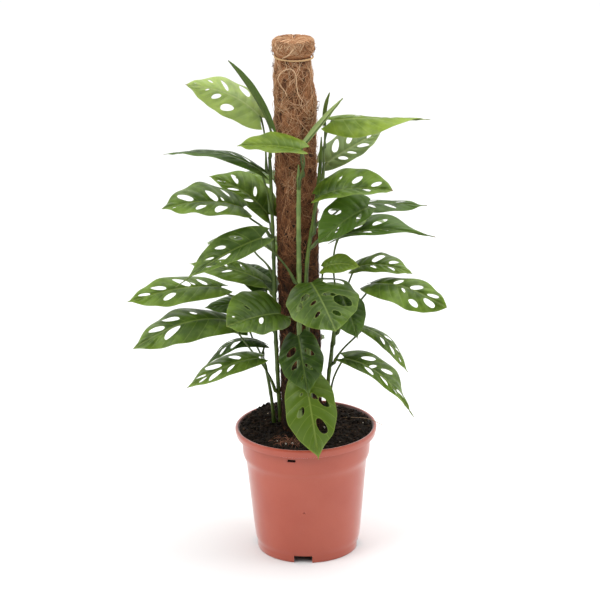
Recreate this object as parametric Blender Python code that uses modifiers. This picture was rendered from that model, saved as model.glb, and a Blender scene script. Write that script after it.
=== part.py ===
# Potted monstera: a Swiss cheese vine that climbs a coir pole, in a terracotta coloured nursery pot.
#
# The pot stands on z = 0 with its foot centred on the origin, +Z is up and -Y is the front.
# Lengths below are in millimetres and angles in degrees. MM turns lengths into Blender's metres.

import math

import bmesh
import bpy
from mathutils import Matrix, Vector

MM = 0.001
GAP = 0.3                       # clearance between neighbouring pieces
OVERSHOOT = 5.0                 # how far a cutter runs past the face it opens

# Nursery pot, 17 cm across the lip
POT_HEIGHT = 154.0
POT_STEPS = 40
LIP_RADIUS = 85.0
LIP_DROP = 12.0
LIP_ROUNDING = 2.0
LIP_WIDTH = 3.4
LIP_SHOULDER = 1.2              # how far the flat top of the lip stays inside its widest place
LIP_UNDERCUT = 1.8              # how far the underside of the lip draws in
COLLAR_RADIUS = 76.3
COLLAR_BOTTOM = 120.0
COLLAR_FLARE = 0.8              # how much the collar widens up to the lip
WAIST_RADIUS = 72.2
WAIST_HEIGHT = 110.0
FOOT_RADIUS = 61.2
FOOT_HEIGHT = 8.0
SHOULDER_RADIUS = 63.3
SHOULDER_HEIGHT = 16.0
WALL = 1.8
POT_FLOOR = 2.5

# Drain notches where the wall meets the floor, and the slot for a plant tag under the lip
NOTCH_COUNT = 4
NOTCH_FIRST = -96.0             # just left of the middle of the front
NOTCH_WIDTH = 22.0
NOTCH_HEIGHT = 9.0
NOTCH_INNER = 48.0
SLOT_ANGLE = -103.5
SLOT_WIDTH = 10.0
SLOT_HEIGHT = 3.4
SLOT_DEPTH = 7.2
SLOT_DROP = 2.7                 # below the underside of the lip

# Peat soil, filled almost to the lip
SOIL_EDGE = 148.0
SOIL_TOP = 149.0
SOIL_MOUND_RADIUS = 45.0

# Coir pole: a wooden stake in a sleeve of coconut fibre, folded over the top and tied
POLE_X = -5.5
POLE_STEPS = 20
STAKE_RADIUS = 9.5
STAKE_BOTTOM = 25.0
STAKE_POINT = 3.8               # radius at its lower end
SLEEVE_RADIUS = 24.6
SLEEVE_BOTTOM = 138.0
SLEEVE_TOP = 625.0
SLEEVE_CEILING = 600.0
HEAD_RADIUS = 25.4
HEAD_ROUNDING = 5.0
TIE_HEIGHT = 606.0
TIE_WAIST = 22.6
TIE_THICKNESS = 1.6
TIE_WIDTH = 2.4
NECK = 7.0                      # the head is full again this far above the tie, the sleeve twice as far below

# Stems: name, radius, and points of the centre line from the ground up
ROOT_DEPTH = 9.0                # how far a stem goes down into the soil
STEM_STEP = 26.0                # spacing of the points along a stem's tube
STEM_TAPER = 0.75
STEMS = [
    ("stem_left", 2.6, [(-30, 16), (-32, 9, 199), (-34, -3, 280), (-34, -5, 352), (-35, -6, 438),
                        (-36, -8, 480), (-36.5, -10, 500)]),
    ("stem_front", 3.2, [(-8, -38), (-7, -32, 200), (-6, -30, 260), (-5, -30, 335), (-4, -30, 420),
                         (-3, -31, 465), (-3, -38, 488)]),
    ("stem_right", 2.6, [(10, -36), (6, -33, 200), (4, -31.5, 300), (4.5, -31, 365), (14, -25, 424),
                         (22, -12, 479), (24, -5, 512)]),
    ("stem_low_left", 2.2, [(-38, 14), (-41, 12, 187), (-46, 8, 222), (-50, 4, 243)]),
    ("stem_low_right", 2.6, [(27, 8), (27.5, 0, 205), (32, -9, 250), (38, -16, 300)]),
    ("stem_back", 2.6, [(-6, 34), (-5, 30, 220), (-7, 29, 320), (-4, 29, 420), (-7, 30, 480)]),
]

# Leaves. Each row says where the stalk leaves its stem, where the blade starts and ends, how wide its
# left and right halves are, which way its upper side faces, and its form: arch lifts the middle of the
# midrib, bow bends it towards the left half (or the right, below zero), fold lifts both halves like a V
# (or drops them, below zero), twist turns the blade from base to tip, and point draws the tip out.
# name, stem, height on stem, base, tip, (left, right), (facing turn, facing rise), arch, bow, fold,
# twist, point
LEAVES = [
    ("leaf_01", "stem_left", 474, (-45, -12, 538), (-132, 11, 573),
     (26, 34), (-14, 48), 8, -7, -20, -26, 0.4),
    ("leaf_02", "stem_left", 492, (-34, -20, 528), (-80, -37, 612), (7, 5), (150, 10), 5, 0, 60, 0, 0.2),
    ("leaf_03", "stem_front", 462, (0, -56, 511), (-73, -48, 515), (15, 22), (0, 70), 3, 0, 24, 0, 0.5),
    ("leaf_04", "stem_left", 425, (-46, -28, 479), (-158, -30, 502), (13, 17), (0, 81), 13, 0, 4, 40, 0.3),
    ("leaf_05", "stem_left", 395, (-68, -22, 433), (-161, -48, 442), (26, 38), (0, 70), 10, 0, 14, 0, 0.4),
    ("leaf_06", "stem_left", 400, (-40, 6, 416), (-108, 25, 459), (13, 29), (0, 50), 8, -4, 6, 0, 0.6),
    ("leaf_07", "stem_front", 345, (-47, -40, 402), (-147, -72, 355), (17, 25), (0, 58), 8, 0, 20, 75, 3.4),
    ("leaf_08", "stem_left", 322, (-49, 8, 335), (-135, 35, 349), (20, 22), (0, 74), 6, 0, 8, 0, 0.5),
    ("leaf_09", "stem_left", 308, (-97, -18, 336), (-205, -45, 329), (24, 24), (0, 66), 8, 0, 10, -42, 0.6),
    ("leaf_10", "stem_left", 196, (-84, -34, 299), (-200, -66, 278), (28, 33), (0, 68), 18, 0, 2, -16, 0.4),
    ("leaf_11", "stem_front", 300, (-27, -48, 312), (-89, -95, 314), (28, 38), (-5, 50), 5, 0, 20, 0, 0.2),
    ("leaf_12", "stem_left", 290, (-44, 22, 318), (-70, 80, 334), (24, 24), (200, 60), 6, 0, 8, 0, 0.5),
    ("leaf_13", "stem_low_left", 238, (-54, -54, 260), (-138, -78, 233), (15, 24), (0, 70), 8, 0, 3, 0, 0.6),
    ("leaf_14", "stem_low_left", 245, (-49, 16, 254), (-118, 4, 231), (14, 15), (0, 84), 16, 0, -5, 0, 0.5),
    ("leaf_15", "stem_front", 318, (9, -50, 350), (36, -118, 313), (45, 40), (5, 44), 6, 0, 6, 0, 0.4),
    ("leaf_16", "stem_low_right", 262, (43, -42, 334), (62, -62, 284), (21, 21), (15, 20), 6, 0, 8, 0, 0.7),
    ("leaf_17", "stem_front", 240, (-7, -62, 289), (4, -92, 224), (25, 27), (0, 10), 8, 0, 6, 0, 1.5),
    ("leaf_18", "stem_front", 190, (0, -68, 241), (14, -98, 148), (31, 30), (5, 15), 8, 0, 5, 0, 1.0),
    ("leaf_19", "stem_right", 466, (36, -15, 534), (149, -24, 535), (13, 26), (0, 76), 3, 0, -8, -115, 2.4),
    ("leaf_20", "stem_front", 474, (1, -34, 508), (49, -26, 563), (7, 5), (150, 45), 0, 0, 58, 0, 0.5),
    ("leaf_21", "stem_right", 446, (29, 22, 473), (95, 44, 504), (25, 15), (0, 45), 4, 0, 5, 0, 0.3),
    ("leaf_22", "stem_right", 404, (20, -39, 450), (104, -60, 462), (30, 18), (0, 66), 8, 0, 28, 0, 0.1),
    ("leaf_23", "stem_right", 408, (45, 9, 424), (147, 8, 423), (14, 20), (0, 86), 4, 0, 5, 30, 1.0),
    ("leaf_24", "stem_low_right", 298, (41, -22, 395), (153, -58, 405),
     (27, 10), (0, 68), 12, 0, 16, 0, 2.2),
    ("leaf_25", "stem_right", 388, (76, -30, 433), (18, -54, 398), (14, 26), (10, 20), 5, -4, 8, 0, 0.4),
    ("leaf_26", "stem_low_right", 292, (60, -8, 353), (128, -24, 350), (26, 14), (0, 72), 9, 0, 10, 0, 0.5),
    ("leaf_27", "stem_low_right", 275, (80, -22, 338), (166, -58, 319),
     (20, 29), (0, 68), 11, 0, 8, 60, 0.1),
    ("leaf_28", "stem_low_right", 235, (71, -10, 280), (122, -26, 228), (16, 13), (0, 84), 10, 0, 0, 0, 0.7),
    ("leaf_29", "stem_low_right", 190, (46, -39, 252), (127, -70, 188),
     (30, 11), (0, 70), 20, 0, 0, -34, 2.2),
    ("leaf_30", "stem_left", 276, (-52, 14, 298), (-118, -1, 305), (20, 20), (0, 74), 6, 0, 8, 0, 0.6),
    ("leaf_31", "stem_low_right", 292, (24, -38, 364), (66, -50, 368), (14, 17), (0, 60), 6, 0, 25, 0, 0.7),
    ("leaf_32", "stem_right", 500, (28, -6, 528), (34, -11, 566), (4, 4), (200, 10), 2, 0, 70, 0, 0.7),
    ("leaf_33", "stem_back", 470, (-8, 58, 490), (2, 130, 462), (23, 23), (180, 60), 10, 0, 8, 0, 0.7),
    ("leaf_34", "stem_back", 400, (12, 60, 430), (45, 145, 408), (29, 29), (170, 60), 12, 0, 8, 0, 0.7),
    ("leaf_35", "stem_back", 430, (-32, 55, 446), (-72, 130, 424), (28, 28), (200, 60), 10, 0, 5, 0, 0.7),
    ("leaf_36", "stem_back", 320, (-15, 65, 355), (-40, 160, 328), (31, 31), (190, 60), 14, 0, 6, 0, 0.7),
    ("leaf_37", "stem_back", 260, (16, 66, 296), (40, 155, 268), (31, 31), (165, 60), 14, 0, 6, 0, 0.7),
    ("leaf_38", "stem_left", 345, (-62, 42, 372), (-112, 104, 350), (29, 29), (215, 62), 10, 0, 6, 0, 0.7),
    ("leaf_39", "stem_back", 375, (44, 36, 396), (98, 98, 376), (29, 29), (140, 62), 10, 0, 6, 0, 0.7),
    ("leaf_40", "stem_low_right", 240, (42, 46, 278), (52, 124, 244), (27, 27), (165, 60), 12, 0, 6, 0, 0.7),
    ("leaf_41", "stem_low_left", 230, (-66, 44, 262), (-112, 98, 240),
     (28, 28), (220, 60), 12, 0, 6, 0, 0.7),
    ("leaf_42", "stem_back", 205, (-6, 72, 238), (2, 150, 196), (29, 29), (180, 50), 12, 0, 6, 0, 0.7),
]
# Leaves that are not the common green: material, colour and which ones
LEAF_TINTS = [
    ("leaf_pale_green", "#8FA35E", ["leaf_01", "leaf_20", "leaf_21"]),
    ("leaf_young_green", "#728E38", ["leaf_03", "leaf_18", "leaf_19", "leaf_31"]),
    ("leaf_dark_green", "#3C5621", ["leaf_02", "leaf_04", "leaf_12", "leaf_14", "leaf_16", "leaf_17",
                                    "leaf_23", "leaf_24", "leaf_25", "leaf_30"]),
]
BLADE = 0.8                     # thickness of a blade
STALK_RADIUS = 1.4
STALK_POINTS = 5
STALK_GAP = 0.7                 # clearance between a stalk and the side of its stem
STALK_START = 2.0               # straight stretch where a stalk leaves its stem
STALK_UNDER_BLADE = 7.0         # how far the stalk runs on under the midrib
STALK_TIP = 0.7                 # thickness there, as a part of the stalk's own
STALK_RISE = 0.8                # how steeply a stalk climbs where it leaves and where it arrives
STALK_BOW = 0.38                # how wide it bows, in lengths of the stalk
BASE_START = 0.012              # how far along its outline curve a blade's blunt base starts
WIDEST = 0.6                    # lower brings the widest place nearer the base
BLUNTNESS = 0.75
LOBE = 0.12                     # how far the lobes reach back past the base, in blade lengths
SWEEP = 0.15                    # how far the side veins run forward, in blade lengths
SWEEP_CURVE = 1.4               # how much a side vein bends as it runs outward
CURL = 16.0                     # how much the edge of each half turns down
MIDRIB_START = 0.02             # the slope of the arch at the base is taken here
ARCH_PEAK = 0.85                # lower brings the top of the arch nearer the base
TWIST_START = 0.3               # place along the blade that a twist leaves unturned
WELD = 0.05                     # points of a blade's mesh this close become one
# Places along the midrib where the mesh has a row, and across each half from midrib to edge.
# The windows are the open cells between side veins, in the middle strip of each half.
ROWS = [0.0, 0.07, 0.22, 0.44, 0.50, 0.70, 0.87, 1.0]
COLUMNS = [0.0, 0.28, 0.74, 1.0]
WINDOW_ROWS = [2, 4]
WINDOW_COLUMN = 1


def clear_scene():
    for obj in list(bpy.data.objects):
        bpy.data.objects.remove(obj, do_unlink=True)


def new_collection(name):
    collection = bpy.data.collections.new(name)
    bpy.context.scene.collection.children.link(collection)
    return collection


def hex_to_linear(code):
    channels = [int(code[i:i + 2], 16) / 255 for i in (1, 3, 5)]
    return [c / 12.92 if c <= 0.04045 else ((c + 0.055) / 1.055) ** 2.4 for c in channels] + [1.0]


def new_material(name, colour, roughness):
    material = bpy.data.materials.new(name)
    material.use_nodes = True
    shader = material.node_tree.nodes["Principled BSDF"]
    shader.inputs["Base Color"].default_value = hex_to_linear(colour)
    shader.inputs["Roughness"].default_value = roughness
    shader.inputs["Metallic"].default_value = 0.0
    return material


def add_object(name, data, material, collection):
    obj = bpy.data.objects.new(name, data)
    obj.data.materials.append(material)
    collection.objects.link(obj)
    return obj


def hide_as_tool(obj):
    obj.hide_render = True
    obj.display_type = "WIRE"


def turned(name, profile, steps, closed, material, collection):
    """A shape turned about its own Z axis. The profile runs down its outer side."""
    points = [(radius * MM, 0.0, height * MM) for radius, height in profile]
    edges = [(i, i + 1) for i in range(len(points) - 1)]
    if closed:
        edges.append((len(points) - 1, 0))
    mesh = bpy.data.meshes.new(name)
    mesh.from_pydata(points, edges, [])
    obj = add_object(name, mesh, material, collection)
    screw = obj.modifiers.new("Turn", "SCREW")
    screw.axis = "Z"
    screw.angle = math.tau
    screw.steps = steps
    screw.render_steps = steps
    screw.use_merge_vertices = True
    screw.merge_threshold = 0.0001
    screw.use_smooth_shade = True
    return obj


def cylinder_tool(name, radius, bottom, top, centre, collection):
    """An upright cylinder that cuts a hole."""
    mesh = bpy.data.meshes.new(name)
    shape = bmesh.new()
    bmesh.ops.create_cone(
        shape, cap_ends=True, segments=POLE_STEPS, radius1=radius * MM, radius2=radius * MM,
        depth=(top - bottom) * MM)
    shape.to_mesh(mesh)
    shape.free()
    obj = bpy.data.objects.new(name, mesh)
    obj.location = Vector((centre[0], centre[1], (bottom + top) / 2)) * MM
    collection.objects.link(obj)
    hide_as_tool(obj)
    return obj


def box_tool(name, size, radius, height, angle, collection):
    """A box that cuts an opening, at a place on the pot's wall given by radius, height and angle."""
    mesh = bpy.data.meshes.new(name)
    shape = bmesh.new()
    bmesh.ops.create_cube(shape, size=1.0)
    bmesh.ops.scale(shape, vec=Vector(size) * MM, verts=shape.verts)
    shape.to_mesh(mesh)
    shape.free()
    obj = bpy.data.objects.new(name, mesh)
    turn = math.radians(angle)
    obj.location = Vector((radius * math.cos(turn), radius * math.sin(turn), height)) * MM
    obj.rotation_euler = (0.0, 0.0, turn)
    collection.objects.link(obj)
    hide_as_tool(obj)
    return obj


def combine(obj, tool, operation):
    boolean = obj.modifiers.new(tool.name, "BOOLEAN")
    boolean.operation = operation
    boolean.solver = "EXACT"
    boolean.object = tool


def pot_inner_wall():
    """The inner side of the pot's wall, from the floor up, as (radius, height)."""
    return [
        (FOOT_RADIUS - WALL, POT_FLOOR),
        (FOOT_RADIUS - WALL, FOOT_HEIGHT),
        (SHOULDER_RADIUS - WALL, SHOULDER_HEIGHT),
        (WAIST_RADIUS - WALL, WAIST_HEIGHT),
        (COLLAR_RADIUS - WALL, COLLAR_BOTTOM + WALL),
        (COLLAR_RADIUS - WALL + COLLAR_FLARE, POT_HEIGHT - LIP_DROP),
    ]


def make_pot(material, parts, tools):
    inner = [(0.0, POT_FLOOR)] + pot_inner_wall()
    lip_inner = LIP_RADIUS - LIP_WIDTH
    lip = [
        (lip_inner - LIP_ROUNDING, POT_HEIGHT - LIP_DROP / 2),
        (lip_inner, POT_HEIGHT - LIP_ROUNDING / 2),
        (lip_inner + LIP_ROUNDING / 2, POT_HEIGHT),
        (LIP_RADIUS - LIP_SHOULDER, POT_HEIGHT),
        (LIP_RADIUS, POT_HEIGHT - LIP_ROUNDING),
        (LIP_RADIUS - LIP_UNDERCUT / 2, POT_HEIGHT - LIP_DROP + LIP_ROUNDING / 2),
        (LIP_RADIUS - LIP_UNDERCUT, POT_HEIGHT - LIP_DROP),
    ]
    outer = [
        (COLLAR_RADIUS + COLLAR_FLARE, POT_HEIGHT - LIP_DROP),
        (COLLAR_RADIUS, COLLAR_BOTTOM),
        (WAIST_RADIUS, WAIST_HEIGHT),
        (SHOULDER_RADIUS, SHOULDER_HEIGHT),
        (FOOT_RADIUS, FOOT_HEIGHT),
        (FOOT_RADIUS, 0.0),
        (0.0, 0.0),
    ]
    pot = turned("pot", inner + lip + outer, POT_STEPS, False, material, parts)
    for i in range(NOTCH_COUNT):
        notch = box_tool(
            f"notch_{i + 1}",
            (FOOT_RADIUS + OVERSHOOT - NOTCH_INNER, NOTCH_WIDTH, NOTCH_HEIGHT + OVERSHOOT),
            (FOOT_RADIUS + OVERSHOOT + NOTCH_INNER) / 2,
            (NOTCH_HEIGHT - OVERSHOOT) / 2,
            NOTCH_FIRST + i * 360.0 / NOTCH_COUNT,
            tools)
        combine(pot, notch, "DIFFERENCE")
    slot = box_tool(
        "tag_slot", (SLOT_DEPTH, SLOT_WIDTH, SLOT_HEIGHT), COLLAR_RADIUS,
        POT_HEIGHT - LIP_DROP - SLOT_DROP - SLOT_HEIGHT / 2, SLOT_ANGLE, tools)
    combine(pot, slot, "DIFFERENCE")
    return pot


def make_soil(material, parts, tools):
    """The peat fills the pot inside its wall, with holes for the pole and the stems."""
    side = [(radius - GAP, height) for radius, height in reversed(pot_inner_wall())]
    side[-1] = (side[-1][0], POT_FLOOR + GAP)
    edge = (LIP_RADIUS - LIP_WIDTH - LIP_ROUNDING - GAP, SOIL_EDGE)
    profile = [(0.0, SOIL_TOP), (SOIL_MOUND_RADIUS, SOIL_TOP), edge] + side + [(0.0, POT_FLOOR + GAP)]
    soil = turned("soil", profile, POT_STEPS, False, material, parts)
    centre = (POLE_X, 0.0)
    top = SOIL_TOP + OVERSHOOT
    stake_hole = cylinder_tool(
        "stake_hole", STAKE_RADIUS + GAP, STAKE_BOTTOM - GAP, top, centre, tools)
    sleeve_hole = cylinder_tool(
        "sleeve_hole", SLEEVE_RADIUS + 2 * GAP, SLEEVE_BOTTOM - GAP, top, centre, tools)
    combine(soil, stake_hole, "DIFFERENCE")
    combine(soil, sleeve_hole, "DIFFERENCE")
    for name, radius, points in STEMS:
        bottom = SOIL_TOP - ROOT_DEPTH - GAP
        hole = cylinder_tool(name + "_hole", radius + 1.5 * GAP, bottom, top, points[0], tools)
        combine(soil, hole, "DIFFERENCE")
    return soil


def make_stake(material, parts):
    profile = [
        (0.0, SLEEVE_CEILING - GAP),
        (STAKE_RADIUS, SLEEVE_CEILING - GAP),
        (STAKE_RADIUS, STAKE_BOTTOM + STAKE_RADIUS),
        (STAKE_POINT, STAKE_BOTTOM),
        (0.0, STAKE_BOTTOM),
    ]
    stake = turned("pole_stake", profile, POLE_STEPS, False, material, parts)
    stake.location.x = POLE_X * MM
    return stake


def make_sleeve(material, parts):
    """The coir sleeve: open below for the stake, drawn in under the tie, bulging at the head."""
    bore = STAKE_RADIUS + GAP
    profile = [
        (0.0, SLEEVE_TOP),
        (HEAD_RADIUS - HEAD_ROUNDING, SLEEVE_TOP),
        (HEAD_RADIUS, SLEEVE_TOP - HEAD_ROUNDING),
        (HEAD_RADIUS, TIE_HEIGHT + NECK),
        (TIE_WAIST, TIE_HEIGHT + TIE_WIDTH),
        (TIE_WAIST, TIE_HEIGHT - TIE_WIDTH),
        (SLEEVE_RADIUS, TIE_HEIGHT - 2 * NECK),
        (SLEEVE_RADIUS, SLEEVE_BOTTOM),
        (bore, SLEEVE_BOTTOM),
        (bore, SLEEVE_CEILING),
        (0.0, SLEEVE_CEILING),
    ]
    sleeve = turned("coir_sleeve", profile, POLE_STEPS, False, material, parts)
    sleeve.location.x = POLE_X * MM
    return sleeve


def make_tie(material, parts):
    inner = TIE_WAIST + GAP
    outer = inner + TIE_THICKNESS
    half = TIE_WIDTH / 2
    profile = [
        (outer, TIE_HEIGHT + half / 2),
        (outer, TIE_HEIGHT - half / 2),
        (inner, TIE_HEIGHT - half),
        (inner, TIE_HEIGHT + half),
    ]
    tie = turned("top_tie", profile, POLE_STEPS, True, material, parts)
    tie.location.x = POLE_X * MM
    return tie


def smooth_path(points, step):
    """Points every step along a smooth curve through the given ones."""
    ends = [2 * points[0] - points[1]] + points + [2 * points[-1] - points[-2]]
    path = [points[0]]
    for before, start, end, after in zip(ends, ends[1:], ends[2:], ends[3:]):
        pieces = max(1, round((end - start).length / step))
        for i in range(1, pieces + 1):
            t = i / pieces
            path.append(
                0.5 * ((2 * start) + (end - before) * t
                       + (2 * before - 5 * start + 4 * end - after) * t ** 2
                       + (3 * start - before - 3 * end + after) * t ** 3))
    return path


def tube_curve(name, path, radii, sides):
    """A tube with filled caps along a path, with its own radius at each point."""
    curve = bpy.data.curves.new(name, "CURVE")
    curve.dimensions = "3D"
    curve.bevel_mode = "ROUND"
    curve.bevel_depth = MM
    curve.bevel_resolution = sides // 2 - 2
    curve.use_fill_caps = True
    spline = curve.splines.new("POLY")
    spline.points.add(len(path) - 1)
    for point, place, radius in zip(spline.points, path, radii):
        point.co = (*(place * MM), 1.0)
        point.radius = radius
    return curve


def stem_points(stem):
    """A stem's own points, with its foot upright in the soil."""
    name, radius, points = stem
    foot = Vector((*points[0], SOIL_TOP - ROOT_DEPTH))
    ground = Vector((*points[0], SOIL_TOP + 1.0))
    return [foot, ground] + [Vector(point) for point in points[1:]]


def stem_path(stem):
    points = stem_points(stem)
    return [points[0]] + smooth_path(points[1:], STEM_STEP)


def stem_radius(stem, height):
    top = stem[2][-1][2]
    share = min(1.0, max(0.0, (height - SOIL_TOP) / (top - SOIL_TOP)))
    return stem[1] * (1.0 - (1.0 - STEM_TAPER) * share)


def make_stem(stem, material, parts):
    path = stem_path(stem)
    radii = [stem_radius(stem, point.z) for point in path]
    return add_object(stem[0], tube_curve(stem[0], path, radii, 8), material, parts)


def place_on_stem(stem, height):
    """The centre of a stem at a height."""
    path = stem_path(stem)
    for low, high in zip(path, path[1:]):
        if low.z <= height <= high.z:
            return low.lerp(high, (height - low.z) / (high.z - low.z))
    return path[-1]


class Blade:
    """A leaf's surface: place(along, across) runs from base to tip and from edge to edge."""

    def __init__(self, base, tip, halves, facing, arch, bow, fold, twist, point):
        self.base = Vector(base)
        chord = Vector(tip) - self.base
        self.length = chord.length
        self.forward = chord.normalized()
        turn, rise = (math.radians(angle) for angle in facing)
        wish = Vector((math.sin(turn) * math.cos(rise), -math.cos(turn) * math.cos(rise), math.sin(rise)))
        self.up = (wish - self.forward * wish.dot(self.forward)).normalized()
        self.halves = halves
        self.rise = self.up * arch + self.up.cross(self.forward) * bow
        self.fold = math.radians(fold)
        self.twist = math.radians(twist)
        self.point = point

    def midrib(self, share):
        """The midrib's place and its direction at a share of the length."""
        angle = math.pi * share ** ARCH_PEAK
        steepness = ARCH_PEAK * math.pi * max(share, MIDRIB_START) ** (ARCH_PEAK - 1.0)
        slope = math.cos(angle) * steepness / self.length
        place = self.base + self.forward * (share * self.length) + self.rise * math.sin(angle)
        return place, (self.forward + self.rise * slope).normalized()

    def breadth(self, share):
        """A half's breadth as a part of its widest: blunt at the base, drawn out at the tip."""
        eased = BASE_START + (1.0 - BASE_START) * share
        bulge = max(0.0, math.sin(math.pi * eased ** WIDEST))
        return bulge ** (BLUNTNESS + self.point * share)

    def reach(self, share):
        """How far the edge runs ahead of its vein's foot, or behind it at the lobes."""
        return self.length * (SWEEP * math.sin(math.pi * share) - LOBE * (1.0 - share) ** 3)

    def place(self, share, across):
        start, direction = self.midrib(share)
        turned_up = Matrix.Rotation(self.twist * (share - TWIST_START), 3, direction) @ self.up
        up = (turned_up - direction * turned_up.dot(direction)).normalized()
        side = up.cross(direction)
        distance = abs(across)
        tilt = self.fold - math.radians(CURL) * distance
        left, right = self.halves
        outward = (left if across > 0 else right) * self.breadth(share) * distance
        ahead = self.reach(share) * distance ** SWEEP_CURVE
        sideways = side * math.copysign(outward * math.cos(tilt), across)
        return start + direction * ahead + sideways + up * (outward * math.sin(tilt))


def blade_mesh(name, blade):
    """A grid laid over the blade, with its windows left out."""
    columns = [-column for column in reversed(COLUMNS[1:])] + COLUMNS
    middle = len(COLUMNS) - 1
    shape = bmesh.new()
    bmesh.ops.create_grid(shape, x_segments=len(ROWS) - 1, y_segments=len(columns) - 1, size=1.0)
    windows = []
    for face in shape.faces:
        centre = face.calc_center_median()
        row = int((centre.x + 1.0) / 2.0 * (len(ROWS) - 1))
        column = int((centre.y + 1.0) / 2.0 * (len(columns) - 1))
        from_midrib = column - middle if column >= middle else middle - 1 - column
        if row in WINDOW_ROWS and from_midrib == WINDOW_COLUMN:
            windows.append(face)
    for vert in shape.verts:
        row = round((vert.co.x + 1.0) / 2.0 * (len(ROWS) - 1))
        column = round((vert.co.y + 1.0) / 2.0 * (len(columns) - 1))
        vert.co = blade.place(ROWS[row], columns[column]) * MM
    bmesh.ops.delete(shape, geom=windows, context="FACES")
    bmesh.ops.remove_doubles(shape, verts=shape.verts, dist=WELD * MM)
    mesh = bpy.data.meshes.new(name)
    shape.to_mesh(mesh)
    shape.free()
    return mesh


def stalk_path(stem, height, blade):
    """A stalk leaves its stem level, bows upward and runs in under the base of the blade."""
    centre = place_on_stem(stem, height)
    outward = blade.base - centre
    outward.z = 0.0
    outward.normalize()
    start = centre + outward * (stem_radius(stem, height) + STALK_GAP)
    turn = start + outward * STALK_START
    direction = blade.midrib(0.0)[1]
    under = blade.base - blade.up * (BLADE / 2)
    bow = (under - turn).length * STALK_BOW
    climb = Vector((0.0, 0.0, STALK_RISE))
    leave = turn + ((under - turn).normalized() + climb).normalized() * bow
    arrive = under - (direction / 2 + climb).normalized() * bow
    path = [start]
    for i in range(STALK_POINTS):
        t = i / (STALK_POINTS - 1)
        path.append(
            turn * (1 - t) ** 3 + leave * 3 * t * (1 - t) ** 2
            + arrive * 3 * t ** 2 * (1 - t) + under * t ** 3)
    path.append(under + direction * STALK_UNDER_BLADE)
    return path


def tube_as_mesh(name, path, radii, sides, collection):
    """A tube turned into a welded mesh, so that it can be joined to a blade."""
    curve = bpy.data.objects.new(name + "_curve", tube_curve(name + "_curve", path, radii, sides))
    collection.objects.link(curve)
    bpy.context.view_layer.update()
    evaluated = curve.evaluated_get(bpy.context.evaluated_depsgraph_get())
    mesh = bpy.data.meshes.new_from_object(evaluated)
    shape = bmesh.new()
    shape.from_mesh(mesh)
    bmesh.ops.remove_doubles(shape, verts=shape.verts, dist=WELD * MM)
    shape.to_mesh(mesh)
    shape.free()
    obj = bpy.data.objects.new(name, mesh)
    obj.matrix_world = curve.matrix_world
    collection.objects.link(obj)
    bpy.data.objects.remove(curve, do_unlink=True)
    hide_as_tool(obj)
    return obj


def make_leaf(row, stems, material, parts, tools):
    name, stem_name, height, *form = row
    blade = Blade(*form)
    leaf = add_object(name, blade_mesh(name, blade), material, parts)
    thick = leaf.modifiers.new("Thickness", "SOLIDIFY")
    thick.thickness = BLADE * MM
    thick.offset = -1.0
    path = stalk_path(stems[stem_name], height, blade)
    radii = [STALK_RADIUS] * (len(path) - 1) + [STALK_RADIUS * STALK_TIP]
    stalk = tube_as_mesh(name + "_stalk", path, radii, 6, tools)
    combine(leaf, stalk, "UNION")
    return leaf


def main():
    clear_scene()
    parts = new_collection("potted_monstera")
    tools = new_collection("shaping_tools")

    plastic = new_material("terracotta_polypropylene", "#BC6C59", 0.42)
    peat = new_material("dark_peat", "#2B2019", 0.95)
    wood = new_material("stake_wood", "#A98258", 0.7)
    coir = new_material("coconut_fibre", "#8A5E40", 0.9)
    twine = new_material("sisal_twine", "#B08A5E", 0.85)
    bark = new_material("green_stem", "#6E8B45", 0.45)
    green = new_material("leaf_green", "#587D3A", 0.4)
    tints = {}
    for name, colour, leaves in LEAF_TINTS:
        tints.update(dict.fromkeys(leaves, new_material(name, colour, 0.4)))

    make_pot(plastic, parts, tools)
    make_soil(peat, parts, tools)
    make_stake(wood, parts)
    make_sleeve(coir, parts)
    make_tie(twine, parts)
    stems = {stem[0]: stem for stem in STEMS}
    for stem in STEMS:
        make_stem(stem, bark, parts)
    for row in LEAVES:
        make_leaf(row, stems, tints.get(row[0], green), parts, tools)


main()
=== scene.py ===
# Potted monstera: a Swiss cheese vine on a coir pole, in a terracotta coloured nursery pot.
#
# Lengths are in millimetres and angles in degrees unless a comment says otherwise. MM turns lengths
# into metres. The pot stands on z = 0, +Z is up and -Y is the front.

import math
import random

import bpy
import numpy as np
from mathutils import Matrix, Vector, noise


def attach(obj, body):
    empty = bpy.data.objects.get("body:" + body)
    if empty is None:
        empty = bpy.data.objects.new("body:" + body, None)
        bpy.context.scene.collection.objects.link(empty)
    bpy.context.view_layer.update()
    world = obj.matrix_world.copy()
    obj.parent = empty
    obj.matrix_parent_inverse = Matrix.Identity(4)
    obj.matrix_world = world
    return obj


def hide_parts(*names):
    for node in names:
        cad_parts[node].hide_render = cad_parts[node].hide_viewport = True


MM = 0.001
UP = Vector((0.0, 0.0, 1.0))

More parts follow.
